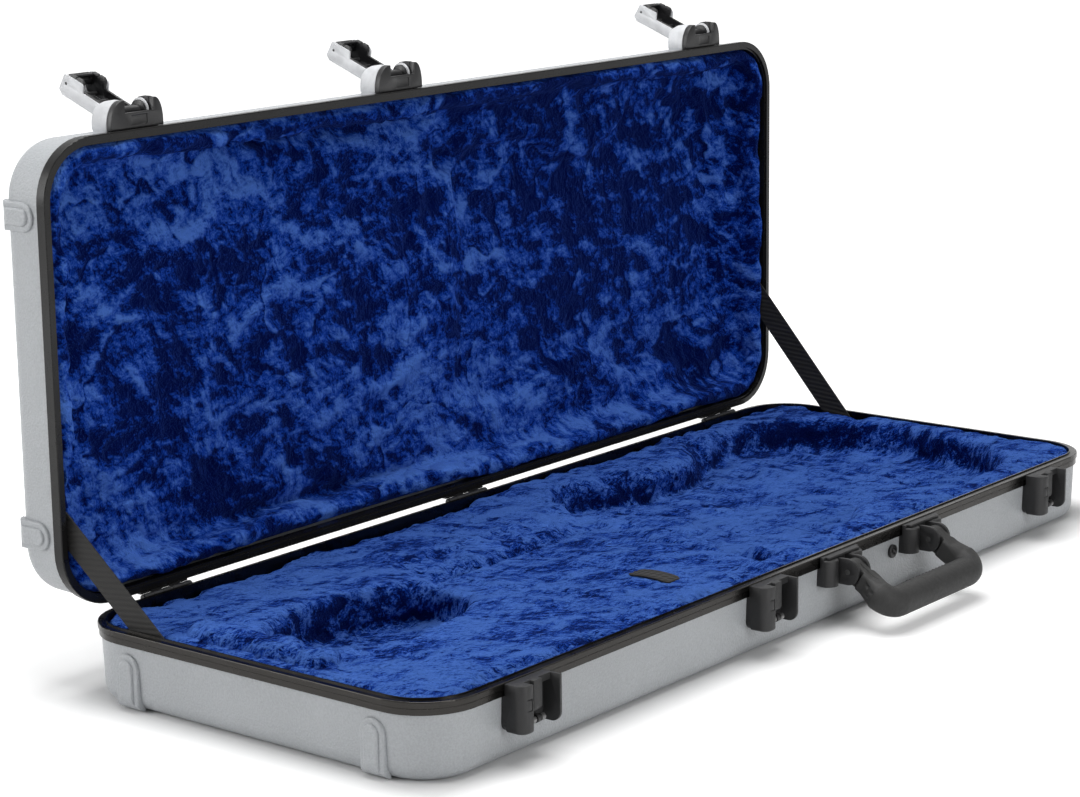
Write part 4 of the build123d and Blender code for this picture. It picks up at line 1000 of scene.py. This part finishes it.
def floor_finish():
    """Pale floor; its own light, for what the camera and reflections see, grows away from the case, so the
    floor next to it is darker: a painted contact shadow.
    """
    material = bpy.data.materials.new("studio_floor")
    material.use_nodes = True
    tree = material.node_tree
    tree.nodes.clear()
    away = away_from_case(tree)
    rise = add_node(tree, "ShaderNodeMath", "ADD")
    for index, (start, end, level) in enumerate(FLOOR_GLOW):
        links = {"Value": away}
        share = add_node(tree, "ShaderNodeMapRange", None, links, From_Min=start, From_Max=end, To_Max=level)
        tree.links.new(share.outputs["Result"], rise.inputs[index])
    rays = add_node(tree, "ShaderNodeLightPath")
    seen = {0: rays.outputs["Is Camera Ray"], 1: rays.outputs["Is Glossy Ray"]}
    either = add_node(tree, "ShaderNodeMath", "MAXIMUM", seen)
    scale = add_node(tree, "ShaderNodeMath", "MULTIPLY", {0: either.outputs[0], 1: rise.outputs[0]})
    glow = add_node(tree, "ShaderNodeEmission", None, {"Strength": scale.outputs[0]})
    matte = add_node(tree, "ShaderNodeBsdfDiffuse", Color=FLOOR_COLOUR)
    both = add_node(tree, "ShaderNodeAddShader", None, {0: matte.outputs[0], 1: glow.outputs[0]})
    add_node(tree, "ShaderNodeOutputMaterial", None, {"Surface": both.outputs[0]})
    return material


def add_area(name, place, aim, size, power):
    """One square soft light."""
    light = bpy.data.lights.new(name, "AREA")
    light.shape = "SQUARE"
    light.size = size
    light.energy = power
    lamp = bpy.data.objects.new(name, light)
    bpy.context.scene.collection.objects.link(lamp)
    lamp.location = place
    lamp.rotation_euler = (Vector(aim) - Vector(place)).to_track_quat("-Z", "Y").to_euler()


def add_air(strength):
    """White surroundings for the camera; the light they give is dimmer in front of the case."""
    world = bpy.data.worlds.new("studio_air")
    bpy.context.scene.world = world
    world.use_nodes = True
    tree = world.node_tree
    air = tree.nodes["Background"]
    air.inputs["Color"].default_value = (1.0, 1.0, 1.0, 1.0)
    rays = add_node(tree, "ShaderNodeLightPath")
    place = add_node(tree, "ShaderNodeTexCoord")
    split = add_node(tree, "ShaderNodeSeparateXYZ", None, {0: place.outputs["Generated"]})
    across = add_node(
        tree,
        "ShaderNodeMapRange",
        None,
        {"Value": split.outputs["Y"]},
        From_Min=-0.9,
        From_Max=0.5,
        To_Min=0.25,
        To_Max=1.0,
    ).outputs["Result"]
    level = add_node(tree, "ShaderNodeMath", "MULTIPLY", {0: across})
    level.inputs[1].default_value = strength
    links = {"Factor": rays.outputs["Is Glossy Ray"], "A": level.outputs[0], "B": across}
    glossy = add_node(tree, "ShaderNodeMix", None, links)
    links = {"Value": rays.outputs["Is Camera Ray"], "To Min": glossy.outputs["Result"]}
    blend = add_node(tree, "ShaderNodeMapRange", None, links, To_Max=1.0)
    tree.links.new(blend.outputs["Result"], air.inputs["Strength"])


def add_lights(settings):
    """Soft light from above and from the left, little from the front."""
    add_area("overhead", (-0.1, 0.05, 2.3), (0.0, 0.05, 0.1), 1.7, settings.key)
    add_area("left_side", (-2.2, 1.5, 1.1), (0.0, 0.0, 0.15), 1.4, settings.side)
    add_area("front_side", (-0.5, -2.7, 1.0), (0.0, 0.0, 0.10), 1.4, settings.fill)


def add_camera(settings):
    """The camera at the photograph's place."""
    turn, rise, roll = (math.radians(angle) for angle in CAMERA_ANGLES)
    back = Vector((math.sin(turn) * math.cos(rise), -math.cos(turn) * math.cos(rise), math.sin(rise)))
    right = Vector((math.cos(turn), math.sin(turn), 0.0))
    up = back.cross(right)
    rolled_right = right * math.cos(roll) + up * math.sin(roll)
    rolled_up = up * math.cos(roll) - right * math.sin(roll)
    far, left, higher = CAMERA_SHIFT
    place = Vector((0, 0, CAMERA_HEIGHT)) + back * far - right * left + up * higher
    lens = bpy.data.cameras.new("camera")
    lens.lens = settings.lens
    lens.sensor_width = 36.0
    lens.clip_start = 0.05
    lens.clip_end = 100.0
    camera = bpy.data.objects.new("camera", lens)
    bpy.context.scene.collection.objects.link(camera)
    axes = Matrix((rolled_right, rolled_up, back)).transposed().to_4x4()
    camera.matrix_world = Matrix.Translation(place) @ axes
    bpy.context.scene.camera = camera


class CASE_PT_panel(bpy.types.Panel):
    """Lists the case's pieces and their settings."""

    bl_idname = "CASE_PT_panel"
    bl_label = "Guitar case"
    bl_space_type = "VIEW_3D"
    bl_region_type = "UI"
    bl_category = "Guitar case"

    def draw(self, context):
        layout = self.layout
        for operator in OPERATORS:
            layout.operator(operator.bl_idname)
        for group in (context.scene.case_colours, context.scene.plush_sizes, context.scene.case_stage):
            box = layout.box()
            for key in group.bl_rna.properties.keys():
                if key not in {"rna_type", "name"}:
                    box.prop(group, key)


OPERATORS = (
    CASE_OT_stage,
    CASE_OT_finishes,
    CASE_OT_base_lining,
    CASE_OT_lid_lining,
    CASE_OT_small_pads,
    CASE_OT_stays,
    CASE_OT_pull_tab,
    CASE_OT_latches,
    CASE_OT_handle,
)
GROUPS = (CaseColours, PlushSizes, StageSettings)


def register():
    """Register the settings, the operators and the panel."""
    for kind in (*GROUPS, *OPERATORS, CASE_PT_panel):
        bpy.utils.register_class(kind)
    bpy.types.Scene.case_colours = PointerProperty(type=CaseColours)
    bpy.types.Scene.plush_sizes = PointerProperty(type=PlushSizes)
    bpy.types.Scene.case_stage = PointerProperty(type=StageSettings)


def unregister():
    """Take them out again."""
    del bpy.types.Scene.case_stage
    del bpy.types.Scene.plush_sizes
    del bpy.types.Scene.case_colours
    for kind in (CASE_PT_panel, *reversed(OPERATORS), *reversed(GROUPS)):
        bpy.utils.unregister_class(kind)


def main():
    """Build the whole scene."""
    register()
    for operator in OPERATORS:
        group, name = operator.bl_idname.split(".")
        getattr(getattr(bpy.ops, group), name)()
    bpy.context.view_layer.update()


if __name__ == "__main__":
    main()
